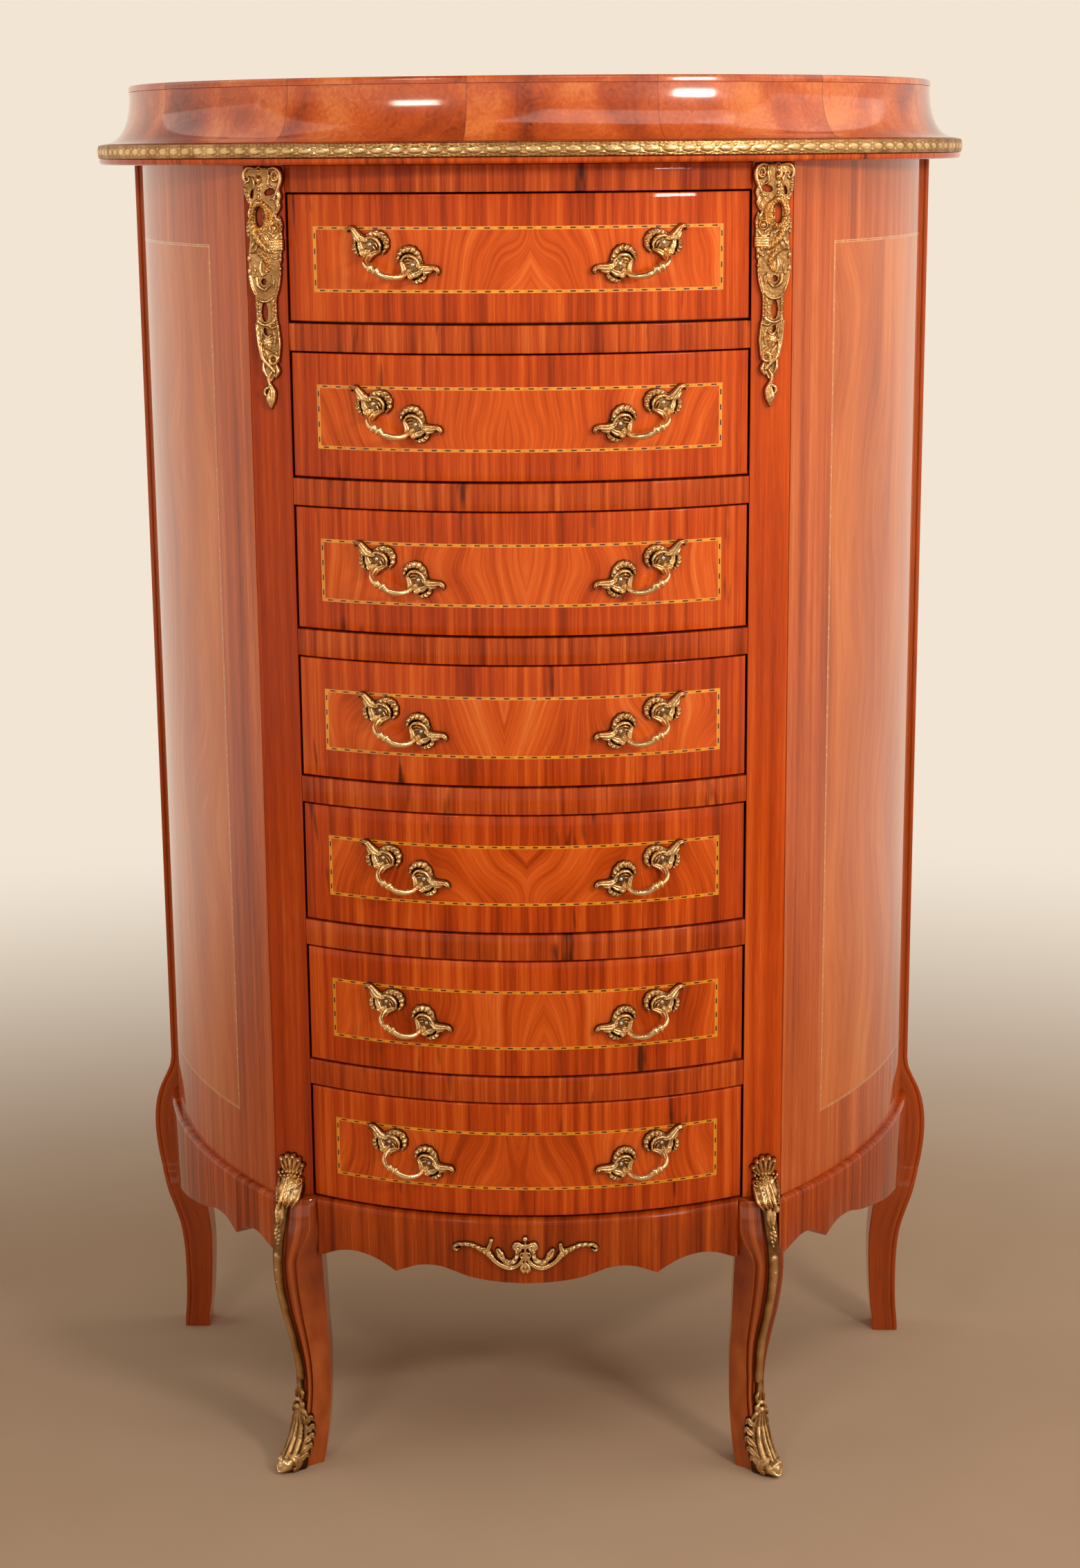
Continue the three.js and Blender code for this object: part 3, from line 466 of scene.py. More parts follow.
def line_edges(places, *distances):
    """Places at each of the distances on both sides of a line."""
    return np.add.outer(places, [*distances, *(-distance for distance in distances)]).ravel()


def breaks(low, high, spacing, *edges):
    """Sorted cuts of a span: its ends, every named edge, and steps of at most the spacing."""
    steps = np.linspace(low, high, int((high - low) / spacing) + 2)
    cuts = np.unique(np.concatenate([steps, *map(np.atleast_1d, edges)]).round(4))
    return cuts[(cuts >= low) & (cuts <= high)]


def inlay_slots(u, z, box, line, dash_width, dashes, dash_slot):
    """Wood of each cell: 0 border, 1 leaf inside the box, 2 line, from its nearest to its furthest distance
    off the box's sides, and the dashes' own number."""
    near, far = line
    cells = ((u[1:] + u[:-1])[:, None] / 2, (z[1:] + z[:-1])[None, :] / 2)
    gaps = [np.minimum(abs(at - low), abs(at - high)) for at, (low, high) in zip(cells, box)]
    inside = [(at > low - far) & (at < high + far) for at, (low, high) in zip(cells, box)]
    lined, dashed = False, False
    for along, across in ((0, 1), (1, 0)):
        gap = gaps[across]
        lined = lined | (inside[along] & (gap > near) & (gap < far))
        dashed = dashed | (inside[along] & (gap < dash_width / 2) & in_dashes(cells[along], dashes[along]))
    leaf = inside[0] & inside[1] & (gaps[0] > far) & (gaps[1] > far)
    return np.where(dashed, dash_slot, np.where(lined, 2, np.where(leaf, 1, 0)))


# %% [markdown]
# ## Drawer fronts
# A drawer front is bow-shaped, veneered with the grain upright, and inlaid with a rectangle of boxwood line.
# Inside the line, the leaf is book-matched: its grain map is mirrored about a joint near the middle.

# %% Drawer fronts
FRONT_GAP, SIDE_GAP, FOOT_GAP = 1.6, 2.1, 2.3
FRONT_THICKNESS, FRONT_ROUND = 20.0, 1.0
INLAY_BOX = ((-170.5, 170.5), (28.0, OPENING_HEIGHT - 29.0))
LINE_WIDTH = 2.8
DASH_PITCH, DASH_LENGTH, DASH_WIDTH = 11.9, 4.6, 1.2
LEAF_START = 0.31


def eased(cuts):
    """Cuts with three more past each end, where the face falls back on a quarter circle, and how far it falls."""
    turn = np.linspace(0, math.pi / 2, 4)[1:]
    out, fall = FRONT_ROUND * np.sin(turn), FRONT_ROUND * (1 - np.cos(turn))
    places = np.concatenate([(cuts[0] - out)[::-1], cuts, cuts[-1] + out])
    return places, np.concatenate([fall[::-1], 0 * cuts, fall])


def front_patches(base, joint, shift):
    """The bowed slab of one drawer front, with materials 0 border, 1 leaf, 2 line, 3 dash and 4 lining."""
    half = HALF_OPENING - SIDE_GAP - FRONT_ROUND
    low, high = FOOT_GAP + FRONT_ROUND, OPENING_HEIGHT - FRONT_GAP - FRONT_ROUND
    dashes = [dash_edges(*span, DASH_PITCH, DASH_LENGTH) for span in INLAY_BOX]
    edges = [line_edges(span, LINE_WIDTH / 2, DASH_WIDTH / 2) for span in INLAY_BOX]
    x, x_fall = eased(breaks(-half, half, 6.0, edges[0], *dashes[0], joint))
    z, z_fall = eased(breaks(low, high, 9.0, edges[1], *dashes[1]))
    face = join(x[:, None], bow_y(x)[:, None] + np.maximum(x_fall[:, None], z_fall), base + z)
    grain = join(bow_arc(x)[:, None], z - OPENING_HEIGHT / 2) * MM + shift
    slots = inlay_slots(x, z, INLAY_BOX, (-1.0, LINE_WIDTH / 2), DASH_WIDTH, dashes, 3)
    patches = slab(face, grain, slots, join(x, bow_y(x, -FRONT_THICKNESS)), (0, 0, 4))
    u = patches[0]["grain"][:, 0]
    matched = np.abs(u - shift[0] - joint * MM) + shift[0] + LEAF_START
    patches[0]["grain"][:, 0] = np.where(np.repeat(slots.ravel() == 1, 4), matched, u)
    return patches


LEAVES = [(12.0, 0.11, 0.20), (-8.0, 1.27, 0.9), (6.0, 2.35, 1.7), (-14.0, 3.15, 2.3), (4.0, 4.45, 3.1),
          (18.0, 5.2, 3.9), (-6.0, 6.3, 4.6)]
for number, (joint, *shift) in enumerate(LEAVES, start=1):
    piece(f"drawer_{number}_veneered_front", front_patches(drawer_base(number), joint, shift),
          [border_veneer, panel_veneer, boxwood, dark_dash, lining], f"drawer_{number}",
          f"drawer_{number}_front")
print("drawer fronts made")

# %% [markdown]
# ## Rails, posts and frieze
# The rails between the drawers follow the same bow. Behind each rail lies a dust board with two guides for the
# drawer above it. Long straight pieces are lofts: one rounded section carried along the bow or up the post.

# %% Rails and dust boards
EDGE_ROUND = 0.8
RAIL_DEPTH = 26.0
GUIDE_FRONT_Y = CORNER_Y + 42.0 + JOINT
NECK_FRONT_Y, NECK_LAP = CORNER_Y + 20.0, 12.0
BOARD_HALF = HALF_OPENING + 12.0
BOARD_BACK_Y = PANEL_FRONT_Y - JOINT
BOARD_THICKNESS, GUIDE_BELOW, GUIDE_ABOVE = 9.0, 4.5, 12.0


def bowed_rail(bottom, top, shift):
    """A rail's section, rounded in front, carried along the bow; grain u is the arc length."""
    x = np.linspace(JOINT - HALF_OPENING, HALF_OPENING - JOINT, 81)
    turn = np.linspace(0, math.pi / 2, 4)
    rise, fall = EDGE_ROUND * (1 - np.cos(turn)), EDGE_ROUND * (1 - np.sin(turn))
    front_y = bow_y(x)[:, None] + np.concatenate([fall, rise])
    y = np.concatenate([front_y, np.full((len(x), 2), CORNER_Y + RAIL_DEPTH)], axis=1)
    rings = join(x[:, None], y, np.concatenate([bottom + rise, top - fall, [top, bottom]]))
    return loft(rings, join(bow_arc(x)[:, None], rings[..., 2]) * MM + shift)


def bar(low, high):
    """A squared bar of the second wood from one corner to the other, with quarter circles on its long edges."""
    turn = (np.arange(4)[:, None] * math.pi / 2 + np.linspace(0, math.pi / 2, 5)).ravel()
    x_in, z_in = (np.array([high[k] - EDGE_ROUND, low[k] + EDGE_ROUND]) for k in (0, 2))
    x = np.repeat(x_in[[0, 1, 1, 0]], 5) + EDGE_ROUND * np.cos(turn)
    z = np.repeat(z_in[[0, 0, 1, 1]], 5) + EDGE_ROUND * np.sin(turn)
    rings = join(x, np.array([[low[1]], [high[1]]]), z)
    return loft(rings, rings[..., :2] * MM, 1)


def dust_board(z):
    """Board and guides behind a rail whose top is at height z."""
    neck_half, under = HALF_OPENING - JOINT, z - BOARD_THICKNESS
    board = bar((-BOARD_HALF, GUIDE_FRONT_Y, under), (BOARD_HALF, BOARD_BACK_Y, z))
    neck = bar((-neck_half, NECK_FRONT_Y, under), (neck_half, GUIDE_FRONT_Y + NECK_LAP, z))
    guide = bar((HALF_OPENING + JOINT, GUIDE_FRONT_Y, z - GUIDE_BELOW),
                (BOARD_HALF, BOARD_BACK_Y, z + GUIDE_ABOVE))
    return board + neck + guide + mirrored(guide)


for number in range(1, DRAWERS):
    top = drawer_base(number)
    patches = bowed_rail(top - RAIL_HEIGHT, top, (0.83 * number, 0.4 * number)) + dust_board(top)
    piece(f"rail_{number}", patches, [rail_veneer, lining], "case", f"divider_{number}")
piece("frieze", bowed_rail(FRIEZE_Z, CASE_TOP_Z - JOINT, (7.7, 0.2)), [rail_veneer], "case",
      "frieze_rail")
print("rails made")

# %% Corner posts
POST_DEPTH = 42.0


def fillet(outline, radii):
    """Rounds the corners of a plan polygon: each becomes a quadratic curve of five points between two tangents."""
    outline, radii = np.asarray(outline, float), np.asarray(radii)[:, None]
    tangents = []
    for step in (1, -1):
        towards = np.roll(outline, step, axis=0) - outline
        tangents.append((outline + radii * towards / np.linalg.norm(towards, axis=1, keepdims=True))[:, None])
    t = np.linspace(0, 1, 5)[None, :, None]
    curve = (1 - t) ** 2 * tangents[0] + 2 * t * (1 - t) * outline[:, None] + t**2 * tangents[1]
    return curve.reshape(-1, 2)


def prism(outline, heights, shift):
    """An upright body over a plan outline; grain u is the outline's x and v the height."""
    rings = join(outline[:, 0], outline[:, 1], heights[:, None])
    return loft(rings, rings[..., [0, 2]] * MM + shift)


post_inner = side_point(SIDE_LEAD, -16.0)
post_plan = fillet(
    [(HALF_OPENING, CORNER_Y), POST_CORNER, post_inner, (post_inner[0], CORNER_Y + POST_DEPTH),
     (HALF_OPENING, CORNER_Y + POST_DEPTH)],
    [1.0, 1.6, 0.2, 1.0, 1.0],
)
post_heights = np.linspace(LEDGE_Z + JOINT, CASE_TOP_Z - JOINT, 12)
right_post, left_post = (prism(post_plan, post_heights, shift) for shift in ((9.1, 0.3), (8.2, 0.9)))
pair("post", "corner_post", right_post, left_post, [post_veneer_right], [post_veneer_left])
print("posts made")

# %% [markdown]
# ## Curved sides
# Each side is a bent panel with a border of upright grain and a paler leaf inside a double line. Small
# marks in pairs sit on the line. The grid is cut at the lines here too.

# %% Side panels
SIDE_THICKNESS = 16.0
SIDE_BOX = ((62.0, 300.0), (325.0, 1112.0))
SIDE_LINE = (0.35, 1.15)
MARK_PITCH, MARK_SPACING, MARK_SIZE = 35.0, 7.4, 2.6


def side_panel(shift):
    """The bent slab of the right side, with materials 0 border, 1 leaf, 2 line and 3 lining."""
    start = SIDE_LEAD + JOINT / SIDE_RADIUS
    end_outer, end_inner = side_angle(STILE_FRONT_Y - JOINT, np.array([0.0, -SIDE_THICKNESS]))
    marks = [dash_edges(*span, MARK_PITCH, MARK_SIZE, MARK_SPACING) for span in SIDE_BOX]
    edges = [line_edges(span, *SIDE_LINE, MARK_SIZE / 2) for span in SIDE_BOX]
    u = breaks(JOINT, (end_outer - SIDE_LEAD) * SIDE_RADIUS, 6.0, edges[0], *marks[0])
    z = breaks(LEDGE_Z + JOINT, CASE_TOP_Z - JOINT, 14.0, edges[1], *marks[1])
    inner_plan = side_point(start + (u - u[0]) / (u[-1] - u[0]) * (end_inner - start), -SIDE_THICKNESS)
    outer_plan = side_point(SIDE_LEAD + u / SIDE_RADIUS)
    face = join(outer_plan[:, :1], outer_plan[:, 1:], z)
    slots = inlay_slots(u, z, SIDE_BOX, SIDE_LINE, MARK_SIZE, marks, 2)
    return slab(face, join(u[:, None], z) * MM + shift, slots, inner_plan, (3, 0, 3))


pair("side", "side_panel", side_panel((11.3, 0.4)), side_panel((12.9, 1.6)),
     [side_border, side_leaf, side_line, lining])
print("side panels made")

# %% [markdown]
# ## The top
# In plan the top is half of a superellipse, the curve |x/a|^n + |y/b|^n = 1 with n a little over 2, which is
# fuller at its shoulders than an ellipse. The cove is the same outline set in more and more towards the top.

# %% Top outlines
TOP_ROUNDNESS = 2.2
HALF_TOP, TOP_DEPTH = 403.0, 394.0


def top_outline(inset, angle):
    """x = a cos^(2/n), y = back - b sin^(2/n), with both half axes shortened by the inset."""
    power = 2 / TOP_ROUNDNESS
    x = (HALF_TOP - inset) * np.sign(np.cos(angle)) * np.abs(np.cos(angle)) ** power
    return join(x, BACK_Y - (TOP_DEPTH - inset) * np.abs(np.sin(angle)) ** power)


def even_turn(count):
    """Angles at which the outline's points stand evenly along it, and its length."""
    fine = np.linspace(0, math.pi, 4001)
    length = along_path(top_outline(0.0, fine))
    return np.interp(np.linspace(0, length[-1], count), length, fine), length[-1]


EDGE_TURN, EDGE_LENGTH = even_turn(281)
print("length of the top's edge", round(EDGE_LENGTH, 1), "mm")


def top_body(profile):
    """Closed body whose rings are outlines at each (inset, z) of a profile; grain is edge and profile length."""
    profile = np.asarray(profile, float)
    plan = top_outline(profile[:, :1], EDGE_TURN)
    rings = join(plan[..., 0], plan[..., 1], profile[:, 1:])
    edge = np.linspace(0, EDGE_LENGTH, len(EDGE_TURN))
    patches = loft(rings, join(edge, along_path(profile)[:, None]) * MM)
    for patch in patches[1:]:
        patch["grain"] = patch["points"][:, :2] * MM
    return patches


# %% [markdown]
# The cove is veneered in burr: leaves about 170 mm wide, cut from a knotty root, with swirling rings and tiny
# dark eyes. The leaf number is the whole part of the edge length over the leaf width, and it moves the noise
# to another place, so the figure breaks at each joint as the real leaves do.


# %% Burr veneer
def burr(name, tones, leaf=0.17):
    """Bands that follow a strongly distorted noise, dark eyes from cells, and a fine dark joint per leaf."""
    material, node = new_material(name)
    darkest, *others = tones.split()
    grain = node("UVMap", uv_map="grain")
    share = node("Math", (node("SeparateXYZ", (grain,)), leaf), operation="DIVIDE")
    shift = node("Math", (node("Math", (share,), operation="FLOOR"), 3.7), operation="MULTIPLY")
    away = node("Math", (node("Math", (share,), operation="FRACT"), 0.5), operation="SUBTRACT")
    away = node("Math", (away,), operation="ABSOLUTE")
    joint = node("MapRange", {"Value": away, "From Min": 0.494, "From Max": 0.4985, "To Max": 0.35})
    cloud, swirl, mottle = (
        node("TexNoise", {"Vector": grain, "W": shift, "Scale": scale, "Detail": detail, "Distortion": twist},
             noise_dimensions="4D")
        for scale, detail, twist in ((13.0, 2.0, 0.6), (22.0, 1.5, 1.6), (240.0, 3.0, 0.0))
    )
    along = node("CombineXYZ", {"X": node("Math", (swirl, 24.0), operation="MULTIPLY")})
    bands = node("TexNoise", {"Vector": along, "Scale": 1.0, "Detail": 3.0, "Roughness": 0.6})
    tone = -0.4
    for layer, weight in ((cloud, 1.3), (bands, 0.4), (mottle, 0.3)):
        tone = node("Math", (layer, weight, tone), operation="MULTIPLY_ADD")
    colour = node("ValToRGB", (tone,), stops=list(zip((0.3, 0.46, 0.6, 0.78), others)))
    cells = node("TexVoronoi", {"Vector": grain, "W": shift, "Scale": 75.0}, voronoi_dimensions="4D")
    eye = node("MapRange", {"Value": cells, "From Min": 0.17, "From Max": 0.1})
    near = node("MapRange", {"Value": cloud, "From Min": 0.5, "From Max": 0.36})
    eye = node("Math", (eye, near), operation="MULTIPLY")
    dark = node("Math", (eye, joint), operation="MAXIMUM")
    colour = node("Mix", {0: dark, 6: colour, 7: linear(darkest)}, data_type="RGBA")
    shader = node("BsdfPrincipled", {
        "Base Color": colour, "Roughness": 0.38, "Specular IOR Level": 0.25,
        "Coat Weight": 1.0, "Coat Roughness": 0.1, "Coat IOR": 1.5,
    })
    node("OutputMaterial", {"Surface": shader})
    return material


cove_burr = burr("polished_burr", "#2a0d05 #7c2b0b #ab4412 #c6571d #df7c3c")

# %% Cove, top panel and base board
COVE_BOTTOM, COVE_TOP = CASE_TOP_Z + 18.3, CASE_TOP_Z + 64.0
COVE_INSET, COVE_LIP_INSET, COVE_FULLNESS = 31.0, 4.3, 2.3
PANEL_TOP, PANEL_INSET, PANEL_ROUND = CASE_TOP_Z + 70.0, 32.9, 2.4
LIP_Z, LIP_INSET, LIP_ROUND = CASE_TOP_Z + 5.0, 1.5, 2.5

drop = np.concatenate([1 - np.linspace(0, 1, 14) ** 2 * 0.25, np.linspace(0.73, 0, 20)])
swell = 1 - (1 - drop**COVE_FULLNESS) ** (1 / COVE_FULLNESS)
cove_profile = join(COVE_INSET + (COVE_LIP_INSET - COVE_INSET) * swell,
                    COVE_BOTTOM + (COVE_TOP - COVE_BOTTOM) * (1 - drop))

quarter = np.linspace(0, math.pi / 2, 5)
panel_edge = join(PANEL_INSET - PANEL_ROUND * np.cos(quarter),
                  PANEL_TOP - PANEL_ROUND * (1 - np.sin(quarter)))
panel_profile = [(30.5, COVE_TOP + JOINT), *panel_edge]
base_edge = join(LIP_INSET + LIP_ROUND * (1 - np.sin(quarter)),
                 CASE_TOP_Z + 0.2 + LIP_ROUND * (1 - np.cos(quarter)))
base_profile = [(5.6, CASE_TOP_Z), *base_edge, (LIP_INSET, LIP_Z), (COVE_LIP_INSET, LIP_Z),
                (COVE_LIP_INSET, CASE_TOP_Z + 18.0)]

for name, profile, wood, slot, cad_node in (
    ("cove", cove_profile, cove_burr, "burr_veneer", "top_cove"),
    ("top_board", panel_profile, cove_burr, "burr_veneer", "top_panel"),
    ("base_board", base_profile, rail_veneer, "case_veneer", "top_base_board"),
):
    piece(name, top_body(profile), [wood], "case", cad_node)
print("top made")

# %% [markdown]
# ## The brass band
# A strip of cast ovals, 16 mm from one to the next, with a scalloped border and small beads between. It is a
# true relief: the surface stands out by the sum of the oval, the scallops and the beads.

# %% Brass band
BAND_BOTTOM = CASE_TOP_Z + 5.3
BAND_HEIGHT, BAND_BACK = 12.2, 3.9
OVAL_PITCH, SCALLOP_PITCH = 16.0, 4.0
BAND_STEP = 1.15
BAND_INSET, BAND_STANDS_OUT = 1.5, 1.3


def dome(*shares):
    """Root of 1 less the squares of the shares: 1 in the middle and 0 where they reach the edge."""
    return np.clip(1 - sum(share**2 for share in shares), 0, 1) ** 0.5


def band_relief(along, up):
    """Height 0 to 1 of the cast pattern: an oval boss, a rope border above and below, and beads between ovals."""
    from_oval = ((along / OVAL_PITCH + 0.5) % 1.0 - 0.5) * OVAL_PITCH
    from_bead = np.abs(from_oval) - OVAL_PITCH / 2
    across = np.abs(up - 0.5) * 2
    rim = np.clip(1 - np.abs(np.hypot(from_oval / 7.6, across / 0.66) - 1) / 0.14, 0, 1) * 0.55
    scallop = np.clip(1 - np.abs(across - 0.86) / 0.13, 0, 1)
    scallop = scallop * (0.45 + 0.3 * np.cos(2 * math.pi * along / SCALLOP_PITCH))
    oval_boss, bead = dome(from_oval / 6.6, across / 0.52), dome(from_bead / 1.6, (across - 0.42) / 0.2)
    return np.clip(np.maximum.reduce([oval_boss, rim, bead * 0.8, scallop]), 0, 1)


def brass_band():
    """The band's face and its back, carried round the outline; the face stands out by the relief."""
    count = int(EDGE_LENGTH / BAND_STEP)
    along, up = np.linspace(0, EDGE_LENGTH, count), np.linspace(0, 1, 21)
    relief = band_relief(along[:, None] - EDGE_LENGTH / 2, up)
    edge_fall = 1.6 * (1 - np.clip(np.minimum(up, 1 - up) / 0.12, 0, 1)) ** 2
    face_inset = BAND_INSET + edge_fall - BAND_STANDS_OUT * relief
    inset = np.concatenate([face_inset, np.full((count, 2), BAND_BACK)], axis=1)
    path = top_outline(0.0, even_turn(count)[0])
    tangent = np.gradient(path, axis=0)
    tangent /= np.linalg.norm(tangent, axis=1, keepdims=True)
    inward = join(-tangent[:, 1], tangent[:, 0])
    inward *= np.sign(np.sum(inward * ((0.0, BACK_Y) - path), axis=1))[:, None]
    inward[[0, -1]] = [[-1.0, 0.0], [1.0, 0.0]]
    plan = path[:, None] + inward[:, None] * inset[..., None]
    rings = join(plan[..., 0], plan[..., 1], BAND_BOTTOM + BAND_HEIGHT * np.concatenate([up, [1, 0]]))
    patches = loft(rings, np.zeros((*rings.shape[:2], 2)))
    values = np.concatenate([0.34 + 0.4 * relief, np.zeros((count, 2))], axis=1)
    closed = np.concatenate([values, values[:, :1]], axis=1)
    for patch, heights in zip(patches, (closed.ravel(), values[0], values[-1])):
        patch["relief"] = heights
    return patches


piece("band", brass_band(), [brass], "case", "top_brass_band", sharp=60)
print("band made")

# %% [markdown]
# ## Aprons
# Each apron is a board with a shaped lower edge and a rounded ledge along its top. Its outline comes from a
# table of places and drops, curved between the rows, with a kink at each point of the scallops. A side apron
# thins out to a tongue in front, which laps over the leg, so that no end grain shows beside the leg.

# %% Aprons
APRON_IN, APRON_OUT = -13.0, 7.0
LEDGE_ROUND = 4.0
APRON_DEPTH = 60.0
FRONT_APRON = [
    (0, 1), (0.13, 0.98), (0.26, 0.92), (0.33, 0.85), (0.39, 0.79), (0.45, 0.775), (0.51, 0.8), (0.56, 0.86),
    (0.617, 0.94), (0.66, 0.86), (0.73, 0.76), (0.82, 0.715), (0.9, 0.76), (1, 0.9), (1.08, 0.9),
]
SIDE_APRON = [
    (0, 0.87), (0.08, 0.72), (0.14, 0.78), (0.2, 0.97), (0.26, 0.83), (0.33, 0.82), (0.42, 0.95), (0.55, 1.1),
    (0.64, 1.2), (0.78, 1.28), (0.91, 1.22), (1, 1.17),
]
TONGUE_START = -0.03


def apron_section(outline, places, kink):
    """(offset, z) rings of an apron: inner face, lower edge eased by 1 mm, outer face, rounded ledge."""
    bottoms = LEDGE_Z - APRON_DEPTH * smooth(outline, places, kinks=(kink,))
    turn = np.linspace(0, math.pi / 2, 7)
    ledge_out = APRON_OUT - LEDGE_ROUND * (1 - np.cos(turn))
    ledge_z = LEDGE_Z - LEDGE_ROUND * (1 - np.sin(turn))
    offsets = np.concatenate([[APRON_IN, APRON_OUT - 1.0, APRON_OUT - 0.3, APRON_OUT], ledge_out, [APRON_IN]])
    ledge = np.broadcast_to([*ledge_z, LEDGE_Z], (len(places), len(turn) + 1))
    return offsets, np.concatenate([bottoms + [0, 0, 0.3, 1.0], ledge], axis=1)


def front_apron():
    """Rings along the bow, from one front leg to the other; the table is for the right half."""
    places = breaks(0, 1.0, 0.012, [row[0] for row in FRONT_APRON])
    offsets, heights = apron_section(FRONT_APRON, places, 8)
    x = np.concatenate([-places[:0:-1], places])[:, None] * (HALF_OPENING - 4.5)
    heights = np.concatenate([heights[:0:-1], heights])
    return loft(join(x, bow_y(x, offsets), heights), join(bow_arc(x), heights) * MM + (13.4, 0.2))


def side_apron(shift):
    """Rings from the front leg's corner to the stile; at the front the inner face comes out to meet the outer."""
    places = breaks(TONGUE_START, 1, 0.012, [row[0] for row in SIDE_APRON])
    offsets, heights = apron_section(SIDE_APRON, places, 3)
    turned = side_angle(STILE_FRONT_Y - JOINT, offsets) - SIDE_LEAD
    tongue = np.interp(places, [TONGUE_START, 0.0, 0.025, 0.045], [5.8, 1.5, -3.0, APRON_IN])[:, None]
    places = places[:, None]
    plan = side_point(SIDE_LEAD + places * turned, np.maximum(offsets, tongue))
    grain = join(places * turned[3] * SIDE_RADIUS, heights) * MM + shift
    return loft(join(plan[..., 0], plan[..., 1], heights), grain)


piece("front_apron", front_apron(), [apron_veneer], "case", "apron_front")
pair("side_apron", "apron_side", side_apron((14.6, 0.7)), side_apron((15.5, 0.1)),
     [apron_veneer])
print("aprons made")

# %% [markdown]
# ## Legs
# A front leg is square in section and swings out at its knee and in at its ankle. Two moulded faces meet at
# an outer corner, which is cut flat for the brass strip. Its rows give the outer, inner and front edges at
# each height. A ring of the section is carried through smooth curves of those rows. On the right leg the
# strip lies a little further in than on the left, so that a line of wood shows beside it. The legs are
# beech, stained and polished, so their shine is a little softer than the veneer's.

# %% Front legs
FRONT_LEG = [
    (0, 222.8, 192.0, -138.0), (9, 223.2, 190.0, -136.5), (20, 220.7, 188.5, -133.5),
    (35, 218.7, 187.0, -129.5), (50, 217.7, 186.0, -125.5), (65, 216.2, 185.5, -122.5),
    (80, 216.2, 185.5, -120.5), (96, 217.7, 185.5, -120.0), (114, 220.7, 186.0, -121.5),
    (130, 223.7, 187.0, -124.0), (147, 227.2, 187.5, -127.0), (163, 229.7, 188.0, -129.5),
    (180, 231.7, 188.5, -132.0), (195, 232.5, 189.0, -133.3), (208, 232.2, 189.8, -133.5),
    (223, 231.2, 190.1, -132.5), (243, 229.0, 190.0, -129.5), (260, 227.5, 190.0, -127.0),
]
LEG_CHAMFER = 8.4
INNER_CUT, TOP_NARROWING = 0.33, 0.06
RIGHT_TUCK = 4.6


def leg_rows(z):
    """Outer x, inner x and front y of the right front leg at each height."""
    return smooth(FRONT_LEG, z).T


def strip_corner(z, tuck):
    """x of the corner that carries the strip: the leg's outer edge, less a tuck that starts above the shoe."""
    return leg_rows(z)[0] - tuck * np.interp(z, [84, 100, 120, 140], [0, 0.35, 0.8, 1])


def front_leg(tuck=0.0):
    """Rings of the leg: each face has a moulding between two grooves, which over the knee becomes one round
    shoulder; both are half sines less bell-shaped grooves."""
    z = np.linspace(0, 260, 157)
    (outer, inner, front), corner = leg_rows(z)[..., None], strip_corner(z, tuck)[:, None]
    z = z[:, None]
    width = outer - inner
    back = front + width
    t = np.linspace(0, 1, 33)
    moulding = 1.7 * np.sin(math.pi * np.clip((t - 0.2) / 0.56, 0, 1)) ** 0.7
    moulding -= 2.4 * np.exp(-(((t - 0.1) / 0.075) ** 2)) + 1.4 * np.exp(-(((t - 0.87) / 0.06) ** 2))
    shoulder = 1.5 * np.sin(math.pi * np.clip((t - 0.12) / 0.88, 0, 1)) ** 0.5
    shoulder -= 1.8 * np.exp(-(((t - 0.06) / 0.05) ** 2))
    high = 0.5 - 0.5 * np.cos(math.pi * np.interp(z, [198, 236], [0, 1]))
    strength = np.interp(z, [0, 12, 246, 257, 260], [0.7, 1, 1, 0.5, 0])
    lift = (moulding * (1 - high) + shoulder * high) * strength
    run = t * ((0.5 + 0.3 * high) * width - LEG_CHAMFER)
    front_x = corner - LEG_CHAMFER - run
    side_x = corner + (outer - corner) * np.sin(math.pi / 2 * np.clip(t / 0.6, 0, 1)) + lift
    x = np.concatenate([inner, front_x[:, ::-1], side_x, outer - INNER_CUT * width, inner], axis=1)
    y = np.concatenate([front + (INNER_CUT - 0.13 * high) * width, (front - lift)[:, ::-1],
                        front + LEG_CHAMFER + run, back, back], axis=1)
    shrink = 1 - TOP_NARROWING * np.clip((z - 254) / 6, 0, 1) ** 2
    middle_x, middle_y = (outer + inner) / 2, (front + back) / 2
    rings = join(middle_x + (x - middle_x) * shrink, middle_y + (y - middle_y) * shrink, z)
    return loft(rings, join(np.linspace(0, 90, x.shape[1]), z) * MM + (16.3, 0.2))


leg_veneer = veneer("polished_leg_beech", "#2c0d04 #602208 #8a350e #a84c16 #c4662a",
                    streak=0.012, patches=0.74, gloss=0.08, mirror=1.5)
pair("front_leg", "leg_front", front_leg(RIGHT_TUCK), front_leg(), [leg_veneer])
print("front legs made")

# %% Back legs
BACK_LEG = [
    (0, -0.23, -0.3, 0.93), (0.03, -0.25, -0.3, 0.93), (0.115, -0.35, -0.45, 0.96), (0.23, -0.4, -0.55, 1),
    (0.354, -0.35, -0.6, 1), (0.442, -0.2, -0.55, 1), (0.508, 0.05, -0.45, 1), (0.577, 0.35, -0.3, 1),
    (0.635, 0.55, -0.15, 0.92), (0.68, 0.7, -0.05, 0.74), (0.781, 0.9, 0, 0.735), (0.865, 0.95, 0, 0.735),
    (0.942, 0.85, 0, 0.735), (1, 0.65, 0, 0.735), (1.058, 0.3, 0, 0.735), (1.096, 0.08, 0, 0.735),
    (1.135, 0, 0, 0.735), (4.54, 0, 0, 0.735),
]
KNEE = 20.0
LEG_DEPTH, STILE_DEPTH = 30.0, 22.0
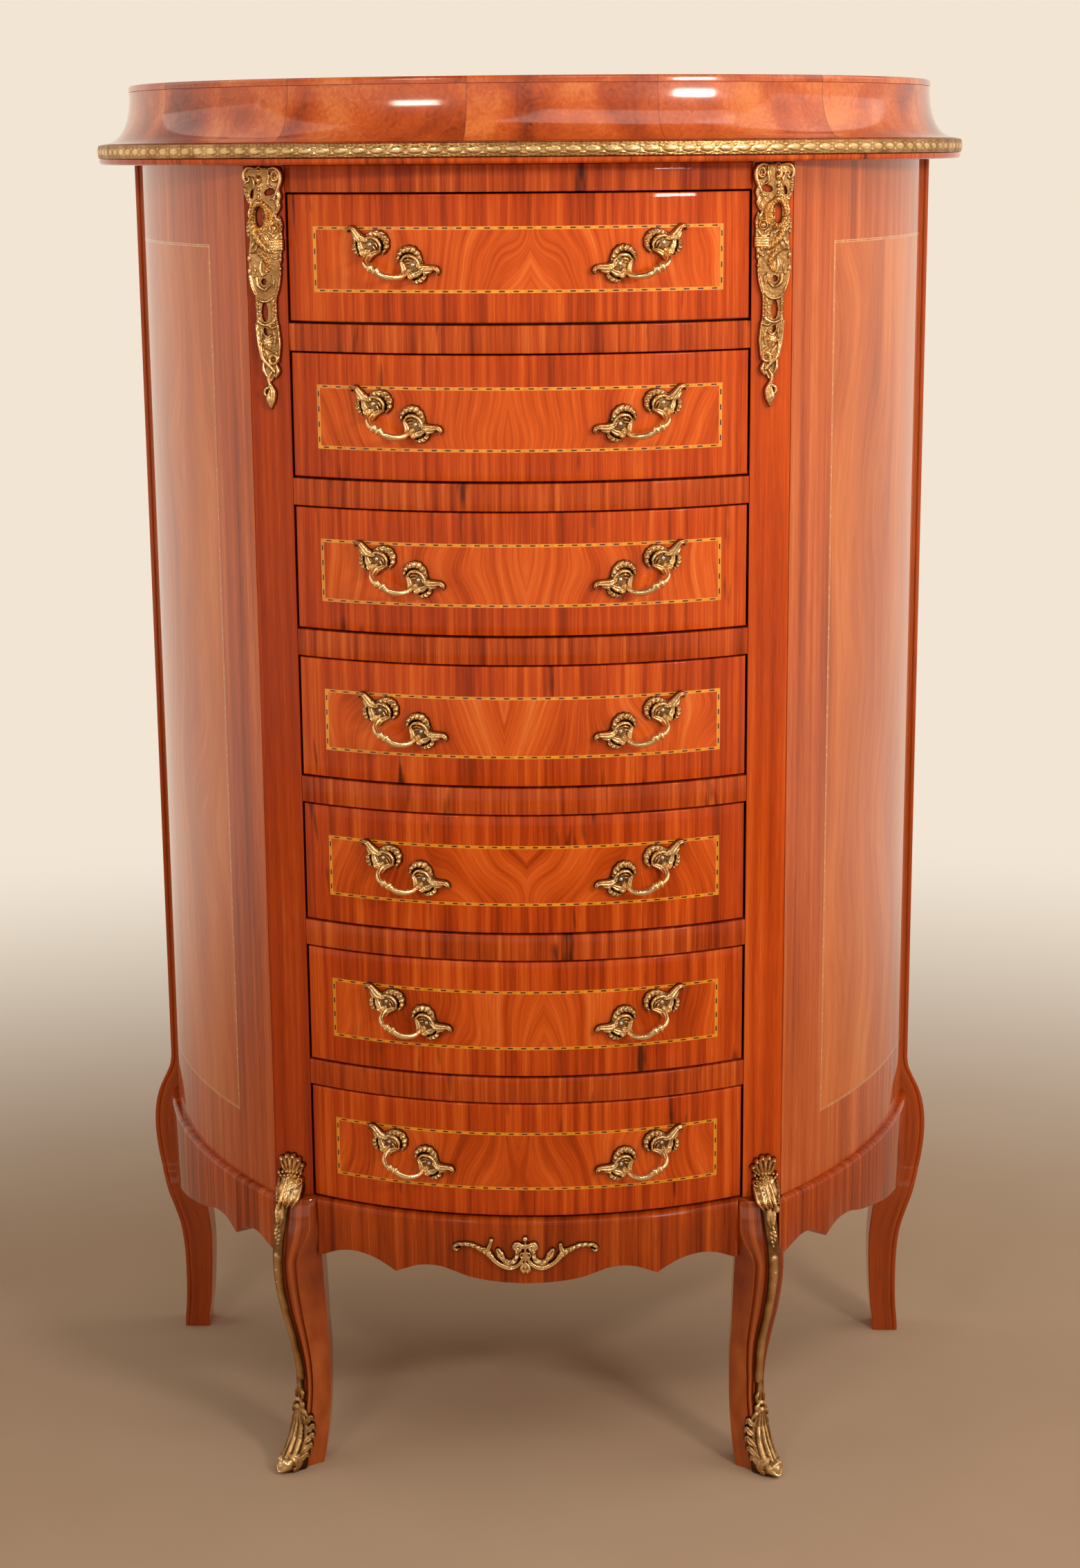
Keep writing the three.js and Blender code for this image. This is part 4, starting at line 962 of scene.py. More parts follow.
BEAD = np.array([
    (-5.0, 0.0), (-4.4, 1.1), (-3.8, 0.35), (-2.6, 0.0), (-1.2, 0.1), (-0.35, 0.45), (0.0, 1.2), (0.0, 4.0),
])


def back_leg():
    """Rings of the back leg and its stile, with a small bead along the outer front edge."""
    share = np.concatenate([np.linspace(0, 1.135, 110), np.linspace(1.2, (CASE_TOP_Z - JOINT) / LEDGE_Z, 12)])
    swing = smooth(BACK_LEG, share, kinks=(16,)).T[..., None]
    share = share[:, None]
    outer, inner = (edge + KNEE * np.where(share > 1.13, 0, out)
                    for edge, out in ((STILE_OUTER_X, swing[0]), (STILE_INNER_X, swing[1])))
    front = np.minimum(BACK_Y - np.maximum(LEG_DEPTH * swing[2], STILE_DEPTH), STILE_FRONT_Y)
    back = np.full_like(front, BACK_Y)
    x = np.concatenate([inner, inner + 1, outer + BEAD[:, 0], outer, inner], axis=1)
    y = np.concatenate([front + 1, front, front + BEAD[:, 1], back, back], axis=1)
    return loft(join(x, y, share * LEDGE_Z), join(x - outer, share * LEDGE_Z) * MM + (17.2, 0.4))


# The back legs are the same beech as the front legs, but in paler tones that make up for the shade under the case:
# painted light.
back_leg_beech_lightened = veneer("polished_back_leg_beech_painted_light", "#3a1206 #8a3610 #a84614 #c0541a #d26c30",
                       streak=0.012, patches=0.8, contrast=0.8, gloss=0.08, mirror=1.4)
pair("back_leg", "leg_back", back_leg(), back_leg(), [back_leg_beech_lightened])
print("back legs made")

# %% [markdown]
# ## Cast ornament as relief
# Rococo mounts are castings: scrolls, leaves, beads and rings that grow out of a thin plate. They are modelled
# here as a height above a flat grid, the way a carver sees them. Every stroke is a rounded ridge along a curve,
# and where strokes cross, the higher one wins, which gives the sharp creases of chased metal. A second field,
# the reach, says how far a point lies inside the outline. The body is cut at reach 0, its edge points are moved
# onto that line so that the outline is smooth, and then it gets walls and a back. Last, it is bent onto
# whatever carries it.


# %% Relief fields
def relief_field(low, high, step):
    """A grid of points with reach far below 0 (nothing there yet) and height 0."""
    x, y = np.meshgrid(*(np.arange(a, b + step / 2, step) for a, b in zip(low, high)), indexing="ij")
    return SimpleNamespace(x=x, y=y, step=step, reach=np.full(x.shape, -99.0), height=np.zeros(x.shape))


def raise_to(field, where, reach, height):
    """Keeps the larger reach, and the larger height where the new shape is."""
    old = field.height[where]
    field.reach[where] = np.maximum(field.reach[where], reach)
    field.height[where] = np.where(reach > 0, np.maximum(old, height), old)


def stroke(field, points, widths, height, lobes=0, slant=0.0, vein=0.0):
    """A ridge: height times the root of (1 - s^2), where s is the distance from the curve over the half width.

    Lobes scallop its edge and rib its back; a vein is a groove along its middle."""
    length = along_path(points)
    share = np.linspace(0, 1, 7 * (len(points) - 1) + 1)
    path = smooth(np.column_stack([length / length[-1], points]), share)
    margin = max(widths) + 2 * field.step
    low, high = path.min(axis=0) - margin, path.max(axis=0) + margin
    where = (field.x > low[0]) & (field.x < high[0]) & (field.y > low[1]) & (field.y < high[1])
    spot = join(field.x[where], field.y[where])[:, None]
    start, run = path[:-1], np.diff(path, axis=0)
    part = np.clip(((spot - start) * run).sum(-1) / (run**2).sum(-1), 0, 1)
    away = spot - start - part[..., None] * run
    distance = np.sqrt((away**2).sum(-1))
    nearest = distance.argmin(axis=1)
    rows = np.arange(len(nearest))
    distance, part, away = distance[rows, nearest], part[rows, nearest], away[rows, nearest]
    side = np.sign(run[nearest, 0] * away[:, 1] - run[nearest, 1] * away[:, 0])
    t = (nearest + part) / len(run)
    width = np.interp(t, np.linspace(0, 1, len(widths)), widths)
    tall = height * (width / max(widths)) ** 0.4
    if lobes:
        width = width * (0.8 + 0.2 * np.abs(np.sin(math.pi * lobes * t)))
    s = np.clip(distance / width, 0, 1)
    ridge = tall * np.sqrt(1 - s**2)
    if lobes:
        lean = slant * s * np.where(slant < 0, side, 1)
        ridge *= 0.78 + 0.22 * np.cos(2 * math.pi * (lobes * t + lean) + math.pi)
    ridge *= 1 - vein * np.exp(-((s / 0.25) ** 2))
    raise_to(field, where, width - distance, ridge)


def oval(field, x, y, rx, ry, turned=0.0):
    """Share of an oval's radius at every grid point (1 on its edge), and the angle round it."""
    angle = math.radians(turned)
    dx, dy = field.x - x, field.y - y
    across = (dx * math.cos(angle) + dy * math.sin(angle)) / rx
    up = (dy * math.cos(angle) - dx * math.sin(angle)) / ry
    return np.hypot(across, up), np.arctan2(up, across)


def boss(field, x, y, rx, ry, height, ribs=0, depth=0.2):
    """A dome: height times the root of (1 - s^2), with ribs round it like a shell or a flower."""
    s, around = oval(field, x, y, rx, ry)
    where = s < 1.6
    s, around = s[where], around[where]
    ribbed = 1 - depth * (0.5 - 0.5 * np.cos(ribs * around)) * s
    raise_to(field, where, (1 - s) * min(rx, ry), height * dome(s) * ribbed)


def ring(field, x, y, rx, ry, width, height, ropes=0):
    """A ridge round an oval, plain or cut like a rope."""
    s, around = oval(field, x, y, rx, ry)
    gap = np.abs(s - 1) * min(rx, ry)
    where = gap < 2 * width
    gap = gap[where]
    ridge = height * dome(gap / width)
    if ropes:
        ridge *= 0.78 + 0.22 * np.cos(ropes * around[where] + 3 * gap / width)
    raise_to(field, where, width - gap, ridge)


def pierce(field, x, y, rx, ry, turned):
    """A hole: the reach falls below 0 inside an oval."""
    s, _ = oval(field, x, y, rx, ry, turned)
    field.reach = np.minimum(field.reach, (s - 1) * min(rx, ry))


def web(field, rows, height, rim=0.0):
    """A thin plate between a left and a right edge, given by rows of (y, left, right), with a raised rim."""
    left, right = np.moveaxis(smooth(rows, field.y.ravel()).reshape(*field.y.shape, 2), -1, 0)
    reach = np.minimum.reduce([field.x - left, right - field.x, field.y - rows[0][0], rows[-1][0] - field.y])
    where = reach > -3.0
    reach = reach[where]
    plate = height * np.clip(reach / 0.8, 0, 1) ** 0.5 + rim * np.exp(-(((reach - 1.1) / 0.7) ** 2))
    raise_to(field, where, reach, plate)


def draw(field, strokes=(), bosses=(), rings=(), hands=(1,)):
    """Draws tables of strokes, bosses and rings on the right hand of a field, on the left (-1), or on both.

    A stroke's row is its points, half widths, height, lobes, slant and vein. The order doesn't matter."""
    for hand in hands:
        for points, *form in strokes:
            stroke(field, np.multiply(points, (hand, 1.0)), *form)
        for shape, table in ((boss, bosses), (ring, rings)):
            for x, *form in table:
                shape(field, hand * x, *form)


# %% Castings from relief fields
def casting(field, place, thickness, lean=0.0, floor=0.0):
    """Closed body of a relief: its face, its back and walls along its outline, bent by place(x, y, height)."""
    reach, step = field.reach, field.step
    slope_x, slope_y = np.gradient(reach, step)
    slope = np.maximum(slope_x**2 + slope_y**2, 0.3)
    shift = np.where((reach < 0) & (reach > -2.5 * step), -reach, 0.0) / slope
    inside = reach > 0
    quads = quads_of(np.arange(reach.size).reshape(reach.shape))[quads_of(inside).any(axis=-1)]
    edges = np.concatenate([quads[:, [k, (k + 1) % 4]] for k in range(4)])
    codes = edges @ (reach.size, 1)
    rim = edges[~np.isin(codes, edges @ (1, reach.size))]
    used, packed = np.unique(quads, return_inverse=True)
    quads, rim = packed.reshape(-1, 4), np.searchsorted(used, rim)
    x, y, height, lean, floor = (
        np.broadcast_to(values, reach.shape).ravel()[used]
        for values in (field.x + shift * slope_x, field.y + shift * slope_y,
                       np.where(inside, field.height, 0.0), lean, floor)
    )
    count = len(used)
    walls = np.column_stack([rim[:, 1], rim[:, 0], rim[:, 0] + count, rim[:, 1] + count])
    faces = np.concatenate([quads, quads[:, ::-1] + count, walls])
    return {
        "points": np.concatenate([place(x, y, lean + thickness + height), place(x, y, floor)]),
        "faces": faces.tolist(),
        "grain": np.zeros((faces.size, 2)),
        "slots": np.zeros(len(faces), int),
        "relief": np.concatenate([height / max(height.max(), 0.01), np.zeros(count)]),
    }


# %% [markdown]
# ## Apron mount
# A spray that lies on the front apron: a bead over a rosette, a C-scroll each side that dips and rises into an
# arm, a smaller scroll inside it, upright leaves, and a hanging drop. It bends with the bow of the apron.

# %% Apron mount
MOUNT_LOW_Z = LEDGE_Z - 49.0
CAST_SHARP = 50.0


def on_apron(x, z, height):
    """Point in front of the apron: x as it is, y from the bow moved out by the height."""
    return join(x, bow_y(x, APRON_OUT + JOINT + height), MOUNT_LOW_Z + z)


spray = relief_field((-67, -1), (67, 37), 0.5)
draw(spray, [
    ([(0.5, 25.2), (4.1, 26.9), (8, 27.6), (9.6, 25), (7.3, 23.2)], (2, 2.9, 2.4), 3.4, 0, 0, 0.35),
    ([(2.5, 26), (4.6, 22.5), (6, 20)], (1.2, 1.9, 0.9), 3),
    ([(1.6, 19), (3, 12.8), (7.2, 7.8), (14, 5.3), (20.9, 7.2), (26.8, 11.2), (31.5, 16.4)],
     (1.4, 2.1, 2.5, 2.4, 2.8), 3.4, 0, 0, 0.3),
    ([(29, 14), (33, 18.3), (38, 21.4), (43, 24)], (2.6, 4, 3.4, 2.4), 4, 4, 0.6, 0.25),
    ([(41, 22.6), (48.5, 26), (55.4, 26.3), (61.4, 25.6), (64.4, 22.4), (61.8, 20.4), (59.6, 21.8)],
     (2.4, 2.8, 2.5, 2.2, 1.9, 1.5), 3.3, 6, 0.5),
    ([(8, 22.2), (7.6, 16.5), (10.6, 11.6), (15.6, 10.3), (19.4, 13.2), (21, 17.5)],
     (2, 2.9, 3.2, 2.8), 3.6, 5, 0.6),
    ([(20, 14), (22.6, 18.4), (24.6, 22)], (2.6, 3.9, 2.4), 3.8, 0, 0, 0.5),
    ([(0.4, 10.4), (2.6, 7.4), (3.4, 4.4), (1.6, 1.6)], (1, 1.9, 2.2, 1.8), 3.4),
], rings=[(2.6, 17.4, 2, 2.4, 0.9, 2.6)], hands=(-1, 1))
draw(spray, [
    ([(0, 27), (0, 18), (0, 9)], (1.6, 1.9, 1.4), 2.6),
    ([(0, 32), (0, 26)], (1.2, 1.5), 2),
    ([(0, 10.4), (0, 6), (0, 2.6)], (1, 1.7, 1.3), 3),
    ([(-34.5, 20), (-32.3, 25), (-30.6, 30)], (2.4, 2.3, 2), 3.3, 0, 0, 0.3),
    ([(33.5, 20), (32, 24), (31.4, 27.4)], (2.6, 2.5, 2), 3.3, 0, 0, 0.3),
], [(0, 33, 2.6, 2.7, 3.6), (-30.4, 31, 2.4, 2.4, 3.6)])
piece("apron_spray", [casting(spray, on_apron, thickness=1.3)], [brass], "case", "apron_mount", CAST_SHARP)
print("apron mount made")

# %% [markdown]
# ## Corner mounts
# Each corner post carries a long pierced mount: volutes and a bead column at the top, a roped ring round an
# oval hole, leaves that cross on the diagonal, plain shoulders, a slot between two roped bars, and a bud.
# It is drawn for the left post, with x towards the drawers and y down from its top, and mirrored for the right.

# %% Corner mounts
POST_MIDDLE = (HALF_OPENING + 17.5, CORNER_Y + 2.5)
POST_TURN = math.atan2(POST_FACE[1], POST_FACE[0])
CORNER_MOUNT_TOP = CASE_TOP_Z - JOINT - 1.0


def on_right_post(x, down, height):
    """Point on the right post's face: the left mount's x runs the other way, and the height stands out."""
    out = JOINT + height
    return join(POST_MIDDLE[0] - x * math.cos(POST_TURN) + out * math.sin(POST_TURN),
                POST_MIDDLE[1] - x * math.sin(POST_TURN) - out * math.cos(POST_TURN), CORNER_MOUNT_TOP - down)


pierced = relief_field((-19, -1), (19, 205), 0.55)
web(pierced, [
    (0, -15.5, 15.6), (13, -16.2, 15.4), (20.6, -15.6, 14.4), (28.8, -12.6, 14.6), (34, -12.8, 12.2),
    (41, -13.6, 12), (48, -14, 15), (55, -13, 15.8), (70, -14.4, 15.2), (82, -14.8, 13.6), (91, -14, 13.6),
    (98, -12.4, 12.2), (104, -10.6, 10.4), (111, -9.8, 9.4), (117, -9.8, 9.2), (130, -9.2, 9.8),
    (145, -7.6, 10.6), (158, -5.6, 9.6), (166, -4.6, 7.4), (173, -3.4, 6.4), (179, -1.4, 3.4),
], 1.3, rim=0.5)

# %% The corner mount's volutes, crossing leaves, bars and bud
draw(pierced, [
    ([(-3.4, 1), (-3.5, 16), (-3.6, 31)], (3, 3.6, 2.6), 2),
    ([(6.4, 1.4), (10.5, 0.9), (14.6, 3.6), (15.4, 10), (13.6, 17), (10.8, 23)], (1.5, 2, 2.2, 1.6), 3.8),
    ([(4.6, 2), (5.4, 8), (4.4, 14), (7, 17)], (1.2, 1.6, 1.2), 3),
    ([(-8.4, 1), (-12.6, 0.8), (-15.8, 4.4), (-15.4, 10.6), (-12.6, 12.2), (-11.6, 8.8)], (1.4, 1.9, 1.7, 1.3), 3.6),
    ([(-15.6, 12), (-14.8, 21), (-12.4, 29)], (1.5, 2.1, 1.6), 3.2, 4, 0.5),
    ([(-8.6, 9), (-7.8, 14), (-8.4, 18)], (1.2, 1.7, 1.1), 2.6),
    ([(12.4, 18), (14, 23.6), (12.8, 29.6)], (1.6, 2.5, 1.6), 3.6, 0, 0, 0.3),
    ([(9.6, 26.6), (13.2, 31.6), (11.6, 37.6)], (1.8, 2.6, 1.5), 3.4, 0, 0, 0.35),
    ([(1.4, 31.4), (5.4, 36.6), (6, 44), (2.6, 51)], (2, 3.3, 3.2, 1.8), 4.3, 8, 0.7),
    ([(13.2, 41), (14.6, 47.6), (14.2, 55)], (1.4, 2.1, 1.6), 3.2, 4, 0.5),
    ([(-13.4, 44), (-14.2, 52), (-13.4, 58)], (1.2, 1.8, 1.2), 2.8, 4),
    ([(-10.6, 47.6), (-8.2, 56), (-3.4, 63.4), (3.6, 68.8), (9.8, 70.4)], (2, 3.5, 3.6, 2.8, 1.6), 4.6, 8, -0.5),
    ([(-4.6, 54), (1.6, 58.4), (3, 63.4)], (1.3, 2.4, 1.3), 3.4, 0, 0, 0.3),
    *(([(5, 61.4 + down), (15.2, 61 + down)], (1.7, 1.7), 3.7) for down in (0, 2.2, 4.4, 6.6)),
    ([(-14.6, 70.4), (-2, 70.8)], (0.8, 0.7), 2.2),
    ([(-5.4, 71.4), (0.4, 75.6), (2.6, 81.4), (0.4, 87), (-2.2, 89.4)], (1.8, 3.2, 3.4, 2.8, 1.6), 4.2, 8, 0.6),
    ([(-3.4, 78), (-4.4, 84), (-3.2, 89.6)], (1.2, 2, 1.2), 3.2),
    ([(-14, 90), (-12.2, 98.6), (-9.4, 105.6)], (0.9, 1.2, 1.1), 2.8),
    ([(13.2, 88), (11.6, 98), (9.6, 105.6)], (0.9, 1.2, 1.1), 2.8),
    ([(-7.4, 91.4), (-6.2, 98), (-0.8, 101.4), (4.2, 97.4)], (1.7, 1.9, 1.4, 1), 3.8),
    ([(-8.6, 108.4), (-4, 111), (1, 111.2), (7.4, 107)], (1, 1.5, 1.5, 1), 3),
    ([(-7.8, 112), (-7.5, 129)], (2.2, 2.2), 3.4, 6, 0.9),
    ([(5.8, 111), (6.1, 129)], (2.2, 2.2), 3.4, 6, 0.9),
    ([(-7.6, 127.4), (-3.8, 130.4), (0.4, 131), (3.8, 129.6), (7, 127)], (1.5, 1.7, 1.6), 3.6),
    ([(0.4, 131), (4.6, 133.4), (9.2, 131.8)], (1, 1.5, 1.1), 3),
    ([(-9.4, 130), (-8, 145), (-5.4, 160)], (1, 1.4, 1.1), 3),
    ([(9.6, 131), (10.8, 147), (9.2, 162)], (1, 1.4, 1.2), 3),
    ([(-1.6, 139.6), (1, 141.4), (3, 139.6)], (1.3, 1.8, 1.2), 4.2),
    ([(-5, 146), (-5.6, 152), (-4, 158)], (1.1, 1.7, 1.1), 3.2),
    ([(-5.2, 155.6), (-2.6, 161), (1.6, 165.4), (5.6, 170.4)], (1.2, 2.2, 2.2, 1.4), 4),
    ([(7.4, 165), (8.8, 170), (6.4, 174.8)], (1.4, 2.2, 1.3), 3.6),
    ([(-4, 163), (-3.6, 169), (-1.4, 174)], (1.3, 2, 1.2), 3.4),
    ([(2.8, 171), (0.2, 176), (1.2, 182)], (1.5, 2, 1.6), 3.4),
    ([(1.2, 181), (3.6, 187), (3.4, 193), (1.4, 202)], (1.5, 3, 2.8, 0.6), 3.9, 0, 0, 0.3),
    ([(0.8, 183), (-2.8, 185.4), (-3.4, 189.4), (-0.6, 191)], (1.2, 1.7, 1.5, 1), 3.4),
    ([(0.6, 186), (-0.6, 193), (0.6, 200)], (1.4, 2.4, 0.9), 3.4),
], [
    (-3.5, 3, 1.9, 2, 3.6), (-3.5, 10.8, 2.5, 4.2, 4.6), (-3.5, 18.6, 1.9, 2, 3.8), (-3.5, 24, 1.7, 2.2, 3.4),
    (-3.5, 29.4, 2, 2, 3.6), (10.6, 8.6, 1.4, 2, 2.8), (8.8, 50.4, 2.5, 2.5, 3.8), (-13.6, 75.4, 1.9, 3.4, 3.2),
    (-13.6, 86, 1.9, 3.4, 3.2), (13.4, 76.6, 1.7, 3, 3.2), (13, 84, 1.5, 2.2, 2.8),
    (0.2, 145.6, 4.6, 7, 4.2, 9, 0.45), (5.2, 159.8, 1.3, 1.3, 2.4),
], [(10.4, 7.6, 2.6, 3.8, 1.2, 3.4), (-4, 41.2, 6.3, 11.4, 2.3, 3.9, 22), (8.8, 50.4, 3.5, 3.5, 0.9, 3),
    (5.2, 159.8, 3.4, 3.6, 1.5, 4.2)])

# %% The corner mount's holes and the small leaves beside them
for hole in ((5.6, 20.8, 4.4, 2.7, -18), (-9.6, 22.4, 1.2, 3.6, 8), (-4, 41.2, 3.2, 8.2, 0),
             (-1.7, 94.8, 2, 2.5, 10), (-1.6, 120.2, 2.6, 8, 0), (-1.4, 136, 1.4, 2.8, -12)):
    pierce(pierced, *hole)
draw(pierced, [(points, (0.6 * width, width, 0.6 * width), 3, 0, 0, 0.25) for width, points in (
    (1.5, [(-8.6, 62), (-11.6, 66), (-12.6, 70)]), (1.2, [(-6, 63.6), (-8, 69)]),
    (1.5, [(9.4, 40), (12, 44.6), (10.6, 47)]), (1.8, [(12.6, 55.6), (9.8, 58.8), (4.6, 58.6)]),
    (1.3, [(3, 53.6), (6.6, 55.6), (7.6, 58)]), (1.3, [(-11.6, 33.6), (-12.8, 38.6), (-12.4, 43)]),
    (1.3, [(6.4, 26.6), (9.8, 24.6), (11.8, 21.4)]), (1.3, [(-8.4, 29.6), (-5.8, 28.2), (-3, 29.2)]),
    (1.1, [(5, 73.6), (9, 75.6), (13.4, 72.6)]), (1.1, [(5.2, 90), (7.4, 94.4), (6.4, 99)]),
    (1.1, [(-9.6, 80), (-8.8, 86), (-10.2, 91)]), (1.2, [(-5.6, 134.6), (-4.6, 140), (-5.8, 144)]),
    (1.4, [(5, 137), (6.8, 142.6), (6, 149)]), (1.5, [(-2.4, 152.4), (0.4, 156.4), (-1.8, 160)]),
    (1.3, [(2.2, 152), (6.6, 153.6), (8.4, 157.4)]),
)])
pierced.height *= 1.25
corner = casting(pierced, on_right_post, thickness=2.0)
corner["relief"] **= 0.7
pair("corner_ornament", "corner_mount", [corner], [corner], [brass], sharp=CAST_SHARP)
print("corner mounts made:", len(corner["faces"]), "faces each")

# %% [markdown]
# ## Leg mounts
# A flower head sits on the corner post's face: a fan of petals over a row of beads over a leafy bulb, which
# leans out over the top of the leg. Below it a strip runs down the flat corner of the leg to the shoe.

# %% The flower head
HEAD_INSET = 15.2
HEAD_OVERHANG = 13.0


def on_post_face(x, up, height):
    """Point in front of the right post's face, by its distance along the face and its height over the ledge."""
    along, out = (math.cos(POST_TURN), math.sin(POST_TURN)), (math.sin(POST_TURN), -math.cos(POST_TURN))
    plan = POST_CORNER + np.outer(x - HEAD_INSET, along) + np.outer(JOINT + height, out)
    return np.column_stack([plan, LEDGE_Z + up])


head = relief_field((-16, -14), (16, 46), 0.5)
for tilt, tall in ((-66, 5.2), (-40, 6.4), (-14, 7.4), (12, 7.4), (38, 6.2)):
    right, up = math.sin(math.radians(tilt)), math.cos(math.radians(tilt))
    petal = [(2 * right, 22), (9 * right, 23 + 9 * up), (12.4 * right, 23.5 + 15.4 * up)]
    draw(head, [(petal, (2.2, 4.2, 3), tall, 0, 0, 0.5)],
         [(12.6 * right, 23.5 + 15.6 * up, 2.4, 2.2, tall + 0.6)])
draw(head, [
    ([(2.6, 18), (4.2, 11), (5.8, 3), (7.4, -5)], (1.5, 2.5, 2.5, 1.6), 8.6),
    ([(-1, 14), (0.8, 6), (4, -3)], (1.2, 2.2, 1.2), 7.8),
    ([(-5.6, 13), (-4.2, 4), (0.6, -6)], (1.2, 2.4, 1.2), 7.2),
    ([(-10.8, 12), (-9.6, 3), (-3.6, -6.4)], (1.2, 2.4, 1.2), 6.4),
    ([(10.6, 17), (11, 9), (9.6, 0)], (1.3, 2.3, 1.5), 6.4, 5, 0.5),
], [
    *((3.4 * k, 24.4 - 0.16 * k**2, 1.8, 1.7, 7.4) for k in range(-3, 4)),
    *((3.4 * k - 8.4, 21.2 - 0.12 * (k - 2.5) ** 2, 1.7, 1.6, 7.6) for k in range(6)),
    (0, 9, 12.4, 16, 6.5, 10, 0.3), (-8.6, 15.6, 1.2, 1.2, 6.4), (-2.6, 15.4, 1.1, 1.1, 7), (8.2, -6, 3, 3.6, 7),
], [(-8.6, 15.6, 2.6, 2.4, 1.1, 6.6), (-2.6, 15.4, 2.4, 2.2, 1.1, 7.2)])
head_floor = np.where(head.y < 0.6, 15.2, 0.0)
head_lean = HEAD_OVERHANG * (0.5 - 0.5 * np.cos(math.pi * np.clip((16 - head.y) / 17, 0, 1)))
flower_head = casting(head, on_post_face, 0.8, np.maximum(head_lean, head_floor - 1.2), head_floor)

# %% The strip
STRIP_FOOT_Z = 80.0


def on_leg_corner(tuck, x, z, height):
    """Point on the leg's flat corner: it faces half-way between front and side, and follows the leg's curve."""
    out, half = JOINT + height, LEG_CHAMFER / 2
    return join(strip_corner(z, tuck) - half + (out + x) * math.sqrt(0.5),
                leg_rows(z)[2] + half + (x - out) * math.sqrt(0.5), z)


strip = relief_field((-10, STRIP_FOOT_Z), (10, 256), 0.6)
web(strip, [(STRIP_FOOT_Z, -5.6, 5.6), (120, -6, 6), (190, -6.6, 6.6), (212, -7, 7), (228, -7.6, 7.6),
            (240, -8.4, 8.4), (256, -9.2, 9.2)], 1.2)
draw(strip, [
    ([(0, STRIP_FOOT_Z), (0, 130), (0, 205)], (5, 5.4, 5.8), 2.8),
    ([(0.4, 256), (-0.6, 247), (0.4, 239)], (4.4, 4, 1.6), 4.2),
    ([(2.8, 255), (3.4, 246), (1.6, 238)], (1.5, 2.4, 1.1), 4.6),
    ([(-3.6, 252), (-4.4, 244), (-2.2, 236)], (1.3, 2, 1), 3.4),
    ([(0.8, 236), (2, 229), (0.4, 222)], (1.4, 2.5, 1.3), 4, 4, 0.5),
    ([(-1.6, 233), (-2.4, 226), (-0.6, 217)], (1.2, 2, 1.2), 3.6, 4),
], [(0, 207, 3.4, 3.2, 3.4), (0, 193, 2.8, 2.6, 3.4), (0, 181, 2, 1.8, 3.4), (0, 168, 1.4, 1.4, 3.4)])
right_strip, left_strip = (casting(strip, partial(on_leg_corner, tuck), thickness=0.5) for tuck in (RIGHT_TUCK, 0.0))
pair("leg_ornament", "leg_mount", [flower_head, right_strip], [flower_head, left_strip], [brass],
     sharp=CAST_SHARP)
print("leg mounts made")

# %% [markdown]
# ## Sabots
# The brass shoe wraps the outer corner of the foot: leaf buds at the top, curled lobes on its inner edge,
# flowing ribs, and a toe that rolls forward. Its grid is wrapped round a template of the leg's corner.

# %% Template of the foot's corner
SABOT_HEIGHT = 80.0
TOE_REACH, TOE_SPREAD = 18.0, 7.0
BEND_AT, BEND_LENGTH = LEG_CHAMFER * 0.7, 1.6

corner_run = np.linspace(-30, 30, 241)
bend = sum(np.tanh((corner_run + place) / BEND_LENGTH) for place in (BEND_AT, -BEND_AT)) / 2
facing = math.pi / 4 * (1 + bend)
run_step = corner_run[1] - corner_run[0]
corner_x, corner_y = np.cumsum(np.cos(facing)) * run_step, np.cumsum(np.sin(facing)) * run_step
corner_x -= np.interp(0, corner_run, corner_x) + LEG_CHAMFER / 2
corner_y -= np.interp(0, corner_run, corner_y) - LEG_CHAMFER / 2


def round_foot(u, z, height):
    """Point round the foot's corner: the template gives place and facing, and a toe stands forward, fullest
    near z = 8 mm and falling off up the foot and round its sides."""
    outer, _, front = leg_rows(z)
    out = JOINT + height
    turned = np.interp(u, corner_run, facing)
    rise = np.interp(z, [0, 4, 11, 18, 28, 40], [0.78, 0.98, 1.0, 0.72, 0.25, 0.0])
    toe = rise * np.exp(-((u / 10.0) ** 2)) * np.clip(height, 0, 1)
    return join(outer + np.interp(u, corner_run, corner_x) + out * np.sin(turned) + toe * TOE_SPREAD,
                front + np.interp(u, corner_run, corner_y) - out * np.cos(turned) - toe * TOE_REACH, z)


# %% Sabots
shoe = relief_field((-21, 0), (17, SABOT_HEIGHT + 1), 0.6)
web(shoe, [(0, -14, 12), (8, -15.5, 12.5), (20, -15.5, 11.5), (32, -14, 10), (42, -11.5, 7.5), (50, -6, 4.6),
           (58, -4.6, 4.4), (80, -3.6, 3.6)], 0.9)
draw(shoe, [
    *(([(u + 5.4, z - drop), (u + 1.6, z - 0.4 * drop), (u, z + 0.6), (u - 1.6, z - 1.6)],
       (1.4, size, 0.85 * size, 0.5 * size), 4, 0, 0, 0.35)
      for u, z, size, drop in ((-12.6, 46, 3, 5), (-14.4, 38.5, 3.2, 5.5), (-15, 30.5, 3.3, 6), (-14.8, 22, 3, 6),
                               (-13.8, 14, 2.8, 6))),
    *(([(u_top * 0.45, 52), (u_top, 36), (u_low, 18), (u_low * 0.9, 5)], (1.1, 1.7, 1.9, 1.5), tall)
      for u_top, u_low, tall in ((-9, -10.5, 2.6), (-5.2, -6.6, 3.2), (-1.2, -2, 3.6), (3.2, 3, 3.2), (7, 8, 2.6))),
    ([(0, 81), (0, 72), (0, 64)], (1.6, 3.6, 1.6), 3.6, 0, 0, 0.3),
], [(0, 8.5, 8, 7.4, 5), (0, 60.5, 3, 2.4, 4.2), (0, 54, 3.8, 3, 4.2), (9.8, 40, 2.6, 3, 2.8),
    (11.4, 32, 2.4, 3, 2.8), (12, 24, 2.2, 2.8, 2.8)], [(0, 9, 5.6, 5.2, 1.6, 5.8)])
